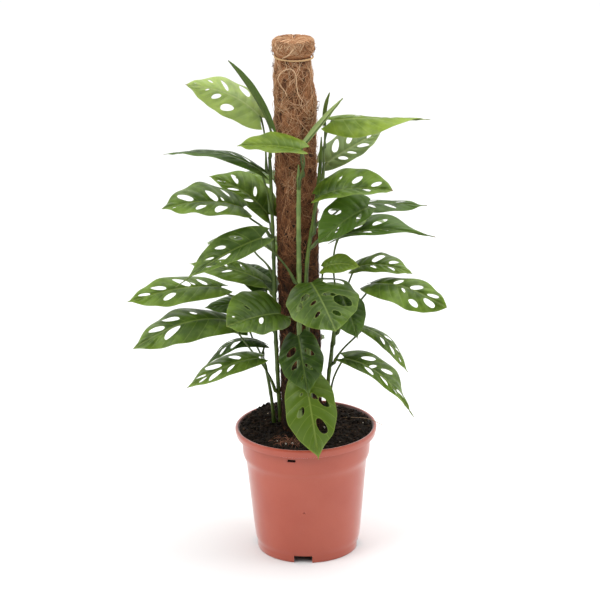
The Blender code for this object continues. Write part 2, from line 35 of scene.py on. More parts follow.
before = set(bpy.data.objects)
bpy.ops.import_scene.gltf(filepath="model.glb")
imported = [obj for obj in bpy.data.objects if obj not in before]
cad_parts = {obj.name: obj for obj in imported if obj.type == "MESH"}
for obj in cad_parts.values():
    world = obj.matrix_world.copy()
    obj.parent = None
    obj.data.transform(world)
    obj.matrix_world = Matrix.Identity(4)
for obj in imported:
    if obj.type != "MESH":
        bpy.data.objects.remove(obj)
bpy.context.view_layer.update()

# Pot. Its profiles are radius and height: the outside from the foot up over the lip, the inside from the
# lip down to the floor, and the underside from the foot's edge to the middle.
POT_SEGMENTS = 128
POT_OUTSIDE = [
    (59.8, 0.0), (60.8, 0.3), (61.2, 1.2), (61.3, 7.6), (61.8, 10.2), (62.8, 13.4), (63.3, 15.6),
    (63.7, 19.0), (66.2, 45.0), (68.7, 72.0), (71.2, 98.0), (72.0, 107.0), (72.6, 111.0), (73.8, 115.0),
    (75.4, 118.5), (76.2, 121.5), (76.5, 125.0), (77.1, 142.8), (78.0, 143.7), (82.3, 143.9),
    (83.4, 144.4), (83.9, 145.6), (84.7, 150.2), (84.9, 151.9), (84.3, 153.3), (83.0, 154.0),
    (81.6, 153.7), (80.6, 152.6)]
POT_INSIDE = [
    (79.4, 148.4), (75.6, 143.4), (74.9, 121.4), (70.5, 110.6), (61.7, 16.4), (59.4, 8.4), (59.0, 5.5)]
UNDERSIDE = [(57.6, 0.0), (57.2, 0.5), (56.8, 3.6), (30.0, 3.6)]
NOTCH_ANGLES = [-96.0, -6.0, 84.0, 174.0]       # the drain notches in the foot
NOTCH = (17.0, 22.0, 14.0)      # size of the cutter: through the wall, along it, and up
NOTCH_PLACE = (56.5, 2.0)       # its centre: radius and height
SLOT_ANGLE = -103.5             # the slot for a plant label, under the lip
SLOT = (7.2, 10.0, 3.4)
SLOT_PLACE = (77.0, 137.6)
CUTTER_EDGE = 0.7               # how far the corners of a notch or slot are rounded
GATE_MARK = (67.9, 68.0, -93.5)  # where the plastic entered the mould: radius, height and angle
GATE_MARK_SIZE = 1.1

# Soil. It is level in the middle, climbs to the lip, and has a low mound at the back left.
SOIL_SEGMENTS, SOIL_RINGS = 96, 22
SOIL_WALL = [
    (58.6, 6.2), (61.3, 16.6), (70.1, 110.9), (74.5, 121.6), (75.2, 143.6), (79.0, 148.6), (79.8, 151.3)]
SOIL_FLOOR_REACH = 30.0
SOIL_REACH = 79.8
SOIL_EDGE, SOIL_MIDDLE = 152.2, 150.8
SOIL_LEVEL_REACH, SOIL_CLIMB = 45.0, 34.0       # it is level this far out, and climbs over this width
MOUND_PLACE, MOUND_RISE, MOUND_SPREAD = (-40.0, 52.0), 5.5, 34.0
SOIL_LUMP, SOIL_LUMP_SIZE = 1.7, 14.0
BARE_SOIL_TINT = 0.12
CRUMB_SHAPES, CRUMBS, PALE_CRUMBS = 6, 2400, 46
SMALL_CRUMBS = 0.85             # the share of small crumbs
SMALL_CRUMB, LARGE_CRUMB, PALE_CRUMB = (0.7, 2.3), (1.8, 3.6), (0.6, 1.5)   # their sizes, from and to
PEAT_FIBRES, PEAT_FIBRE_REACH = 260, 72.0
TANGLE_FIBRES, TANGLE_PLACE = 70, (-21.0, -54.0)    # a tangle of red brown root fibre near the front
FIBRE_BEND_STEPS = 6
LOOSE_REACH = 76.0              # no fibre reaches further than this from the middle
STRAW = [(44, 27, 152), (62, 16.5, 155.4), (76, 8, 156.6), (92, -3, 153)]
FLAKES = [(-16, -60, 2.0), (-24, -62, 1.3), (-34, -50, 1.0)]    # place and size

# Pole
POLE_X = -5.5
POLE_LEAN = 0.0034              # how far the pole leans to the left for each unit of height
POLE_MIDDLE = 380.0             # the height at which it stands on its place in the CAD
POLE_RADIUS, HEAD_RADIUS = 23.7, 22.9
POLE_BOTTOM, POLE_NECK, TIE_HEIGHT, HEAD_EDGE, POLE_TOP = 139.0, 592.0, 606.0, 617.0, 625.0
HEAD_RINGS = [617.0, 619.0, 621.0, 622.5, 623.6, 624.4, 624.8, 624.95]
POLE_STEP, NECK_STEP = 4.0, 2.5
POLE_SEGMENTS = 72
WAIST_DEPTH, WAIST_SPREAD = 2.6, 10.0           # how the tie draws the sleeve in
MAT_LUMP, MAT_LUMP_SIZE = 1.7, 11.0
BULGE_HEIGHT, BULGE_SPREAD, BULGE_RISE = 551.0, 14.0, 2.2       # on the right hand side
HOLLOW_HEIGHT, HOLLOW_SPREAD, HOLLOW_DEPTH = 587.0, 20.0, 2.6   # above the bulge
# Painted shade on the mat: it is darker than its loose fibres, and noise darkens it in patches that stand
# for clefts
CLEFT_SIZE, CLEFT_SHADE = 7.0, 0.45
MAT_TINT, MAT_TINT_SHARE, HEAD_MAT_TINT = 0.04, 0.40, 0.5       # the mat is darker than its fibres
PATCH_TINT = 0.22               # how much paler or darker whole patches of fibre are
# The coir's tint by height: paler where it has dried at the top, darker lower down, partly wet coir and
# partly painted shade of the leaves
COIR_HEIGHTS, COIR_TINTS = (200.0, 320.0, 450.0, 540.0), (0.02, 0.14, 0.52, 0.74)
FIBRES, CAP_FIBRES = 4300, 800
# The folded head: share of the way from the tie to the middle of the top, radius and height
HEAD = [(0.0, 21.4, 608.5), (0.16, 22.7, 612.0), (0.38, 23.3, 618.0), (0.52, 23.3, 623.4),
        (0.62, 21.6, 626.4), (0.84, 10.0, 627.0), (1.0, 1.0, 625.0)]
HEAD_LIMIT = 628.5              # no fibre of the head stands higher than this
# Thick loose strands: angle and height of the points on the pole, then radius and lift
STRANDS = [
    ([(-140, 583), (-136, 588), (-125, 593.5), (-112, 596), (-100, 597), (-90, 595), (-84.5, 589),
      (-83.5, 579), (-80, 568), (-74, 563), (-66, 558)], 0.65, 0.8),
    ([(-140, 583), (-135, 579), (-126, 575), (-116, 571), (-110, 565)], 0.55, 0.7),
    ([(-125, 608.5), (-110, 611.5), (-97, 616), (-88, 621)], 0.6, 1.0),
]
# Tufts that stand off the sides: angle and height
TUFTS = [(178, 596), (184, 594), (2, 546), (-6, 544), (8, 548), (176, 470), (4, 420), (183, 340), (181, 611),
         (175, 616), (-3, 610), (5, 616), (160, 617), (20, 617)]
FIBRES_IN_TUFT = 5

# Tie: how far each of its two turns climbs, and where its twist starts
TIE_TURNS = [(0.3, 0.0), (2.6, 2.0)]
TIE_STEPS, TIE_TWISTS = 120, 16
SECOND_TURN_OUT, SECOND_TURN_UP = 0.45, 0.8     # how far the second turn lies outside and above the first
TIE_RADIUS, PLY_RADIUS, PLY_OFFSET = 22.0, 0.52, 0.36

# Stems: name, radius, and points of the centre line from the ground up
STEM_GROUND = 149.0             # the height at which a stem enters the soil of the CAD
ROOT_DEPTH = 9.0
STEM_STEP = 4.0
STEM_TAPER = 0.75
STEM_TIP = 16.0                 # the length at the top over which a stem closes to its growing point
NODE_SPACING, NODE_SWELL, NODE_LENGTH = 36.0, 0.20, 3.0     # the knuckles where leaves have grown
STEMS = [
    ("stem_left", 2.6, [(-30, 16), (-32, 9, 199), (-34, -3, 280), (-34, -5, 352), (-35, -6, 438),
                        (-36, -8, 480), (-36.5, -10, 500)]),
    ("stem_front", 3.2, [(-8, -38), (-7, -32, 200), (-6, -30, 260), (-5, -30, 335), (-4, -30, 420),
                         (-3, -31, 465), (-3, -38, 488)]),
    ("stem_right", 2.6, [(10, -36), (6, -33, 200), (4, -31.5, 300), (4.5, -31, 365), (14, -25, 424),
                         (22, -12, 479), (24, -5, 512)]),
    ("stem_low_left", 2.2, [(-38, 14), (-41, 12, 187), (-46, 8, 222), (-50, 4, 243)]),
    ("stem_low_right", 2.6, [(27, 8), (27.5, 0, 205), (32, -9, 250), (38, -16, 300)]),
    ("stem_back", 2.6, [(-6, 34), (-5, 30, 220), (-7, 29, 320), (-4, 29, 420), (-7, 30, 480)]),
]

# Leaves: name, stem, height on stem, base, tip, (left half, right half), (facing turn, facing rise),
# arch, bow, fold, twist, point. Arch lifts the middle of the midrib, bow bends it towards the left half,
# fold lifts both halves like a V, twist turns the tip about the midrib, and point draws the tip out thinner.
LEAVES = [
    ("leaf_01", "stem_left", 474, (-45, -12, 538), (-132, 11, 573),
     (26, 34), (-14, 48), 8, -7, -20, -26, 0.4),
    ("leaf_02", "stem_left", 492, (-34, -20, 528), (-80, -37, 612), (7, 5), (150, 10), 5, 0, 60, 0, 0.2),
    ("leaf_03", "stem_front", 462, (0, -56, 511), (-73, -48, 515), (15, 22), (0, 70), 3, 0, 24, 0, 0.5),
    ("leaf_04", "stem_left", 425, (-46, -28, 479), (-158, -30, 502), (13, 17), (0, 81), 13, 0, 4, 40, 0.3),
    ("leaf_05", "stem_left", 395, (-68, -22, 433), (-161, -48, 442), (26, 38), (0, 70), 10, 0, 14, 0, 0.4),
    ("leaf_06", "stem_left", 400, (-40, 6, 416), (-108, 25, 459), (13, 29), (0, 50), 8, -4, 6, 0, 0.6),
    ("leaf_07", "stem_front", 345, (-47, -40, 402), (-147, -72, 355), (17, 25), (0, 58), 8, 0, 20, 75, 3.4),
    ("leaf_08", "stem_left", 322, (-49, 8, 335), (-135, 35, 349), (20, 22), (0, 74), 6, 0, 8, 0, 0.5),
    ("leaf_09", "stem_left", 308, (-97, -18, 336), (-205, -45, 329), (24, 24), (0, 66), 8, 0, 10, -42, 0.6),
    ("leaf_10", "stem_left", 196, (-84, -34, 299), (-200, -66, 278), (28, 33), (0, 68), 18, 0, 2, -16, 0.4),
    ("leaf_11", "stem_front", 300, (-27, -48, 312), (-89, -95, 314), (28, 38), (-5, 50), 5, 0, 20, 0, 0.2),
    ("leaf_12", "stem_left", 290, (-44, 22, 318), (-70, 80, 334), (24, 24), (200, 60), 6, 0, 8, 0, 0.5),
    ("leaf_13", "stem_low_left", 238, (-54, -54, 260), (-138, -78, 233), (15, 24), (0, 70), 8, 0, 3, 0, 0.6),
    ("leaf_14", "stem_low_left", 245, (-49, 16, 254), (-118, 4, 231), (14, 15), (0, 84), 16, 0, -5, 0, 0.5),
    ("leaf_15", "stem_front", 318, (9, -50, 350), (36, -118, 313), (45, 40), (5, 44), 6, 0, 6, 0, 0.4),
    ("leaf_16", "stem_low_right", 262, (43, -42, 334), (62, -62, 284), (21, 21), (15, 20), 6, 0, 8, 0, 0.7),
    ("leaf_17", "stem_front", 240, (-7, -62, 289), (4, -92, 224), (25, 27), (0, 10), 8, 0, 6, 0, 1.5),
    ("leaf_18", "stem_front", 190, (0, -68, 241), (14, -98, 148), (31, 30), (5, 15), 8, 0, 5, 0, 1.0),
    ("leaf_19", "stem_right", 466, (36, -15, 534), (149, -24, 535), (13, 26), (0, 76), 3, 0, -8, -115, 2.4),
    ("leaf_20", "stem_front", 474, (1, -34, 508), (49, -26, 563), (7, 5), (150, 45), 0, 0, 58, 0, 0.5),
    ("leaf_21", "stem_right", 446, (29, 22, 473), (95, 44, 504), (25, 15), (0, 45), 4, 0, 5, 0, 0.3),
    ("leaf_22", "stem_right", 404, (20, -39, 450), (104, -60, 462), (30, 18), (0, 66), 8, 0, 28, 0, 0.1),
    ("leaf_23", "stem_right", 408, (45, 9, 424), (147, 8, 423), (14, 20), (0, 86), 4, 0, 5, 30, 1.0),
    ("leaf_24", "stem_low_right", 298, (41, -22, 395), (153, -58, 405),
     (27, 10), (0, 68), 12, 0, 16, 0, 4.2),
    ("leaf_25", "stem_right", 388, (76, -30, 433), (18, -54, 398), (14, 26), (10, 20), 5, -4, 8, 0, 0.4),
    ("leaf_26", "stem_low_right", 292, (60, -8, 353), (128, -24, 350), (26, 14), (0, 72), 9, 0, 10, 0, 0.5),
    ("leaf_27", "stem_low_right", 275, (80, -22, 338), (166, -58, 319),
     (20, 29), (0, 68), 11, 0, 8, 60, 0.1),
    ("leaf_28", "stem_low_right", 235, (71, -10, 280), (122, -26, 228), (16, 13), (0, 84), 10, 0, 0, 0, 0.7),
    ("leaf_29", "stem_low_right", 190, (46, -39, 252), (127, -70, 188),
     (30, 11), (0, 70), 20, 0, 0, -34, 2.2),
    ("leaf_30", "stem_left", 276, (-52, 14, 298), (-118, -1, 305), (20, 20), (0, 74), 6, 0, 8, 0, 0.6),
    ("leaf_31", "stem_low_right", 292, (24, -38, 364), (66, -50, 368), (14, 17), (0, 60), 6, 0, 25, 0, 0.7),
    ("leaf_32", "stem_right", 500, (28, -6, 528), (34, -11, 566), (4, 4), (200, 10), 2, 0, 70, 0, 0.7),
    ("leaf_33", "stem_back", 470, (-8, 58, 490), (2, 130, 462), (23, 23), (180, 60), 10, 0, 8, 0, 0.7),
    ("leaf_34", "stem_back", 400, (12, 60, 430), (45, 145, 408), (29, 29), (170, 60), 12, 0, 8, 0, 0.7),
    ("leaf_35", "stem_back", 430, (-32, 55, 446), (-72, 130, 424), (28, 28), (200, 60), 10, 0, 5, 0, 0.7),
    ("leaf_36", "stem_back", 320, (-15, 65, 355), (-40, 160, 328), (31, 31), (190, 60), 14, 0, 6, 0, 0.7),
    ("leaf_37", "stem_back", 260, (16, 66, 296), (40, 155, 268), (31, 31), (165, 60), 14, 0, 6, 0, 0.7),
    ("leaf_38", "stem_left", 345, (-62, 42, 372), (-112, 104, 350), (29, 29), (215, 62), 10, 0, 6, 0, 0.7),
    ("leaf_39", "stem_back", 375, (44, 36, 396), (98, 98, 376), (29, 29), (140, 62), 10, 0, 6, 0, 0.7),
    ("leaf_40", "stem_low_right", 240, (42, 46, 278), (52, 124, 244), (27, 27), (165, 60), 12, 0, 6, 0, 0.7),
    ("leaf_41", "stem_low_left", 230, (-66, 44, 262), (-112, 98, 240),
     (28, 28), (220, 60), 12, 0, 6, 0, 0.7),
    ("leaf_42", "stem_back", 205, (-6, 72, 238), (2, 150, 196), (29, 29), (180, 50), 12, 0, 6, 0, 0.7),
]
# The outline of a half: where it starts, where it is widest and how blunt it is. Then how far the lobes
# reach back past the stalk, how far the middle sweeps forward, and how far the edge curls down.
BASE_START, WIDEST, BLUNTNESS = 0.012, 0.6, 0.75
LOBE, SWEEP, SWEEP_CURVE, CURL = 0.12, 0.15, 1.4, 16.0
MIDRIB_START, MIDRIB_END, ARCH_PEAK, TWIST_START = 0.02, 0.93, 0.85, 0.3
LEAF_ROWS, LEAF_COLUMNS = 60, 38
BLADE_THICKNESS = 0.5
SIDE_VEINS = 9                  # side veins on each half of a blade
VEIN_SLANT = 0.10               # how much further the side veins and holes run forward than the rows do
HOLE_SLENDERNESS = 0.80         # a slanting hole is this much narrower than the rows it spans
WAVY_HALF = 30.0                # a blade whose wider half is narrower than this waves less
QUILT_RISE = 1.1                # how far the flesh rises between the side veins
CHANNEL_DEPTH, CHANNEL_HALF = 0.5, 1.4          # the channel that the midrib lies in
BLOTCH_SIZE, WAX_SIZE, CELL_SIZE = 18.0, 6.0, 1.1   # sizes of a blade's patterns of shade, gloss and cells
# Stalks
STALK_GAP, STALK_START, STALK_RISE, STALK_BOW = 0.7, 2.0, 0.8, 0.38
STALK_RADIUS, STALK_SIDES, STALK_STEPS = 1.15, 8, 14
SHEATH_SWELL, SHEATH_LENGTH = 1.1, 0.16
KNUCKLE_SWELL, KNUCKLE_LENGTH = 0.45, 0.06
STALK_DROP = 1.4                # how far under the blade's surface the stalk arrives
MIDRIB_TAPER, MIDRIB_DEPTH = 0.9, 0.45          # how much the midrib thins, and how far down its top lies

# Holes: (along, across, half length, half width). Along runs from base to tip, across from the midrib (0)
# to the left (1) or right (-1) edge, and the half length runs along the midrib.
HOLES = {
    "leaf_01": [(.30, -.60, .070, .26), (.10, -.80, .050, .16), (.52, -.42, .034, .30),
                 (.68, -.60, .022, .20), (.36, .60, .080, .20), (.57, .36, .050, .20),
                 (.72, .14, .020, .12), (.87, -.5, .012, .2)],
    "leaf_04": [(.17, -.45, .040, .26), (.30, -.45, .030, .26)],
    "leaf_05": [(.67, -.42, .066, .34), (.37, -.26, .060, .24), (.19, -.55, .036, .22),
                 (.50, .60, .054, .20), (.29, .62, .070, .22), (.82, .58, .026, .16),
                 (.26, -.14, .022, .08), (.56, -.84, .012, .10)],
    "leaf_06": [(.80, .30, .034, .36), (.62, -.50, .043, .30), (.32, -.30, .034, .19),
                 (.56, .45, .046, .30), (.30, .45, .036, .26)],
    "leaf_07": [(.22, -.50, .040, .22), (.38, -.45, .034, .18), (.54, -.36, .030, .20),
                 (.47, .44, .140, .34)],
    "leaf_08": [(.68, .34, .032, .30), (.42, .36, .036, .26), (.52, -.40, .036, .30),
                 (.28, -.42, .030, .24)],
    "leaf_09": [(.62, -.40, .060, .28), (.80, -.34, .050, .30), (.37, -.40, .060, .34),
                 (.18, -.36, .044, .26), (.52, .48, .060, .22), (.28, -.20, .02, .10)],
    "leaf_10": [(.52, -.52, .062, .26), (.70, -.42, .064, .30), (.58, .34, .080, .30),
                 (.32, -.40, .026, .12)],
    "leaf_11": [(.52, -.42, .030, .14), (.44, .34, .046, .20), (.80, -.50, .014, .10)],
    "leaf_12": [(.5, .45, .05, .22)],
    "leaf_13": [(.26, -.42, .056, .26), (.54, -.45, .085, .34), (.36, .42, .045, .24),
                 (.56, .50, .080, .34), (.75, -.40, .050, .30), (.74, .45, .045, .26)],
    "leaf_14": [(.40, .45, .080, .30), (.24, -.42, .044, .24), (.46, -.46, .070, .30),
                 (.62, .46, .060, .28), (.66, -.44, .056, .26)],
    "leaf_15": [(.13, .60, .100, .25), (.36, .24, .044, .16), (.49, .58, .110, .26),
                 (.28, -.42, .060, .16), (.43, -.28, .030, .12), (.36, -.68, .050, .12),
                 (.70, .40, .050, .20), (.62, -.42, .036, .16)],
    "leaf_17": [(.24, -.42, .070, .22), (.44, -.36, .060, .24), (.28, .40, .060, .20),
                 (.50, .30, .040, .20), (.66, -.30, .030, .20)],
    "leaf_18": [(.38, -.42, .055, .17), (.24, .20, .040, .12), (.30, .55, .055, .20),
                 (.57, .44, .090, .30), (.20, -.30, .020, .08)],
    "leaf_19": [(.24, .60, .030, .20), (.46, .40, .030, .22), (.78, .30, .055, .34),
                 (.60, .50, .020, .18)],
    "leaf_21": [(.47, .50, .060, .28), (.58, -.50, .070, .30), (.80, .28, .050, .34),
                 (.24, -.48, .045, .26), (.25, .50, .070, .32), (.38, -.45, .030, .24)],
    "leaf_22": [(.50, .40, .058, .20), (.76, .40, .055, .28), (.28, .50, .020, .12),
                 (.62, -.45, .050, .26)],
    "leaf_23": [(.52, -.50, .040, .26), (.34, .45, .034, .26), (.32, -.42, .038, .24),
                 (.66, .42, .032, .28)],
    "leaf_24": [(.22, .40, .050, .24), (.40, .45, .052, .24), (.30, -.45, .040, .24),
                 (.46, -.42, .040, .24)],
    "leaf_25": [(.43, -.62, .070, .22), (.21, .50, .060, .25), (.61, .30, .040, .20)],
    "leaf_26": [(.36, .44, .080, .32), (.60, -.38, .060, .30), (.62, .46, .060, .28),
                 (.32, -.42, .044, .24)],
    "leaf_27": [(.32, .25, .045, .22), (.55, .28, .062, .26), (.43, -.22, .030, .12),
                 (.77, .40, .060, .30), (.77, -.45, .085, .28), (.55, -.68, .070, .16)],
    "leaf_28": [(.52, -.40, .066, .30), (.36, .48, .060, .28), (.60, .48, .050, .26),
                 (.32, -.42, .050, .26), (.72, -.38, .040, .26)],
    "leaf_29": [(.20, .45, .060, .22), (.30, .12, .030, .14), (.28, -.48, .050, .24),
                 (.42, .42, .050, .22), (.46, -.40, .050, .24), (.70, .40, .040, .30),
                 (.60, -.40, .030, .24)],
}
# Leaves that have none. The rest, which are not listed here, have the usual ones.
WHOLE_LEAVES = ["leaf_02", "leaf_03", "leaf_16", "leaf_20", "leaf_30", "leaf_31", "leaf_32"]
# What a leaf does not share with its neighbours: how light it is, from -1 to 1, and how dry its tip is
LIGHTNESS = {
    "leaf_01": .5, "leaf_03": -.2, "leaf_05": 0, "leaf_06": .2, "leaf_07": -.2, "leaf_10": -.1,
    "leaf_11": -.3, "leaf_15": -.4, "leaf_17": -.4, "leaf_18": -1.0, "leaf_19": .2, "leaf_20": 0,
    "leaf_21": -.7, "leaf_22": .1, "leaf_24": .6, "leaf_25": .8, "leaf_26": .1, "leaf_27": .1,
    "leaf_29": 0, "leaf_31": -.4}
DRY_TIPS = {
    "leaf_01": 1, "leaf_04": 1, "leaf_13": .7, "leaf_22": .8, "leaf_23": .8, "leaf_24": .9, "leaf_28": .5}
USUAL_DRY_TIP = 0.25
# Leaves that are not the common green
SHADES = {
    "leaf_pale": ["leaf_01", "leaf_20", "leaf_21"],
    "leaf_young": ["leaf_03", "leaf_18", "leaf_19", "leaf_31"],
    "leaf_dark": ["leaf_02", "leaf_04", "leaf_12", "leaf_14", "leaf_16", "leaf_17", "leaf_23", "leaf_24",
                  "leaf_25", "leaf_30"],
}


# Materials

def linear(code):
    """An sRGB hex colour as linear red, green, blue and alpha."""
    channels = [int(code[i:i + 2], 16) / 255 for i in (1, 3, 5)]
    return [c / 12.92 if c <= 0.04045 else ((c + 0.055) / 1.055) ** 2.4 for c in channels] + [1.0]


def new_material(name):
    """A new material, its tree of nodes and its main shader."""
    material = bpy.data.materials.new(name)
    material.use_nodes = True
    tree = material.node_tree
    return material, tree, tree.nodes["Principled BSDF"]


def add_node(tree, kind, output, inputs, **settings):
    """Adds a node and returns one of its outputs. An input is either a socket to link or a value to set.

    Where a node repeats a name, the socket's number is given: a Mix of colours has its share at input 0,
    its two colours at inputs 6 and 7, and its result at output 2."""
    node = tree.nodes.new("ShaderNode" + kind)
    for key, value in settings.items():
        setattr(node, key, value)
    for key, value in inputs.items():
        if isinstance(value, bpy.types.NodeSocket):
            tree.links.new(value, node.inputs[key])
        else:
            node.inputs[key].default_value = value
    return node.outputs[output]


def leaf_skin(name, deep, fresh, vein, under, roughness):
    """A living leaf: waxy satin skin over green flesh that passes a little light, with paler veins.

    To the eye it is a deep green that turns fresher towards the edge and the tip, with soft highlights."""
    material, tree, shader = new_material(name)
    place = add_node(tree, "TexCoord", "Object", {})
    lightness, from_midrib, from_edge, underside, dryness = (
        add_node(tree, "Attribute", "Fac", {}, attribute_name=number)
        for number in ("lightness", "from_midrib", "from_edge", "underside", "dryness"))
    uv = add_node(tree, "UVMap", "UV", {}, uv_map="UVMap")
    along = add_node(tree, "SeparateXYZ", "X", {0: uv})
    # Soft blotches shift the green between its deep and its fresh shade
    cloud = add_node(tree, "TexNoise", "Fac", {
        "Vector": place, "Scale": 1.0 / (BLOTCH_SIZE * MM), "Detail": 3.0, "Roughness": 0.6})
    blotch = add_node(tree, "MapRange", "Result", {
        "Value": cloud, "From Min": 0.25, "From Max": 0.75}, interpolation_type="SMOOTHSTEP")
    blotch = add_node(tree, "Math", "Value", {0: blotch, 1: 0.6}, operation="MULTIPLY")
    shade = add_node(tree, "Math", "Value", {0: lightness, 1: 0.6}, operation="MULTIPLY")
    shade = add_node(tree, "Math", "Value", {0: blotch, 1: shade}, operation="ADD")
    shade = add_node(tree, "MapRange", "Result", {
        "Value": shade, "From Min": -0.15, "From Max": 0.95}, interpolation_type="SMOOTHSTEP")
    colour = add_node(tree, "Mix", 2, {0: shade, 6: linear(deep), 7: linear(fresh)}, data_type="RGBA")
    # Side veins run with the rows of the blade. They are 0.4 mm wide on the leaf, and drawn 0.9 mm wide to
    # show. The midrib and the edge are pale over about a millimetre and a half.
    rows = add_node(tree, "Math", "Value", {0: along, 1: float(SIDE_VEINS)}, operation="MULTIPLY")
    stripe = add_node(tree, "Math", "Value", {0: rows, 1: 0.5}, operation="PINGPONG")
    side_vein = add_node(tree, "MapRange", "Result", {
        "Value": stripe, "From Min": 0.0, "From Max": 0.08, "To Min": 0.20, "To Max": 0.0},
        interpolation_type="SMOOTHSTEP")
    midrib = add_node(tree, "MapRange", "Result", {
        "Value": from_midrib, "From Min": 0.3, "From Max": 1.5, "To Min": 0.42, "To Max": 0.0},
        interpolation_type="SMOOTHSTEP")
    edge = add_node(tree, "MapRange", "Result", {
        "Value": from_edge, "From Min": 0.0, "From Max": 1.2, "To Min": 0.35, "To Max": 0.0},
        interpolation_type="SMOOTHSTEP")
    pale = add_node(tree, "Math", "Value", {0: side_vein, 1: midrib}, operation="MAXIMUM")
    pale = add_node(tree, "Math", "Value", {0: pale, 1: edge}, operation="MAXIMUM")
    colour = add_node(tree, "Mix", 2, {0: pale, 6: colour, 7: linear(vein)}, data_type="RGBA")
    # The underside is paler and duller, and a dried tip is brown
    turned_over = add_node(tree, "Math", "Value", {0: underside, 1: 0.75}, operation="MULTIPLY")
    colour = add_node(tree, "Mix", 2, {0: turned_over, 6: colour, 7: linear(under)}, data_type="RGBA")
    colour = add_node(tree, "Mix", 2, {0: dryness, 6: colour, 7: linear("#7A6650")}, data_type="RGBA")
    tree.links.new(colour, shader.inputs["Base Color"])
    wax = add_node(tree, "TexNoise", "Fac", {"Vector": place, "Scale": 1.0 / (WAX_SIZE * MM), "Detail": 2.0})
    gloss = add_node(tree, "MapRange", "Result", {
        "Value": wax, "From Min": 0.3, "From Max": 0.7,
        "To Min": roughness - 0.06, "To Max": roughness + 0.06}, interpolation_type="SMOOTHSTEP")
    dull = add_node(tree, "Math", "Value", {0: underside, 1: 0.2}, operation="MULTIPLY")
    gloss = add_node(tree, "Math", "Value", {0: gloss, 1: dull}, operation="ADD")
    tree.links.new(gloss, shader.inputs["Roughness"])
    # Cells, coarser than the real ones so that they show, and the sunk side veins
    cells = add_node(tree, "TexNoise", "Fac", {
        "Vector": place, "Scale": 1.0 / (CELL_SIZE * MM), "Detail": 2.0})
    sunk = add_node(tree, "Math", "Value", {0: side_vein, 1: 2.0}, operation="MULTIPLY")
    height = add_node(tree, "Math", "Value", {0: cells, 1: sunk}, operation="SUBTRACT")
    normal = add_node(tree, "Bump", "Normal", {"Height": height, "Strength": 0.5, "Distance": 0.2 * MM})
    tree.links.new(normal, shader.inputs["Normal"])
    shader.inputs["IOR"].default_value = 1.43
    shader.inputs["Specular IOR Level"].default_value = 0.42
    shader.inputs["Specular Tint"].default_value = linear("#EEFFD2")
    shader.inputs["Subsurface Weight"].default_value = 0.25
    shader.inputs["Subsurface Radius"].default_value = (0.9, 1.0, 0.2)
    shader.inputs["Subsurface Scale"].default_value = 1.5 * MM
    return material


def stem_skin(name, green, shade, brown):
    """A living stem: smooth and waxy, two greens, and a little brown where the skin has hardened."""
    material, tree, shader = new_material(name)
    place = add_node(tree, "TexCoord", "Object", {})
    cloud = add_node(tree, "TexNoise", "Fac", {"Vector": place, "Scale": 1.0 / (14.0 * MM), "Detail": 3.0})
    blotch = add_node(tree, "MapRange", "Result", {
        "Value": cloud, "From Min": 0.35, "From Max": 0.65}, interpolation_type="SMOOTHSTEP")
    colour = add_node(tree, "Mix", 2, {0: blotch, 6: linear(green), 7: linear(shade)}, data_type="RGBA")
    scuffs = add_node(tree, "TexNoise", "Fac", {"Vector": place, "Scale": 1.0 / (5.0 * MM), "Detail": 4.0})
    hard = add_node(tree, "MapRange", "Result", {
        "Value": scuffs, "From Min": 0.60, "From Max": 0.72, "To Max": 0.45},
        interpolation_type="SMOOTHSTEP")
    colour = add_node(tree, "Mix", 2, {0: hard, 6: colour, 7: linear(brown)}, data_type="RGBA")
    tree.links.new(colour, shader.inputs["Base Color"])
    wax = add_node(tree, "TexNoise", "Fac", {"Vector": place, "Scale": 1.0 / (4.0 * MM), "Detail": 2.0})
    gloss = add_node(tree, "MapRange", "Result", {
        "Value": wax, "From Min": 0.3, "From Max": 0.7, "To Min": 0.36, "To Max": 0.48},
        interpolation_type="SMOOTHSTEP")
    tree.links.new(gloss, shader.inputs["Roughness"])
    ridges = add_node(tree, "TexNoise", "Fac", {"Vector": place, "Scale": 1.0 / (1.5 * MM), "Detail": 2.0})
    normal = add_node(tree, "Bump", "Normal", {"Height": ridges, "Strength": 0.4, "Distance": 0.2 * MM})
    tree.links.new(normal, shader.inputs["Normal"])
    shader.inputs["IOR"].default_value = 1.43
    return material


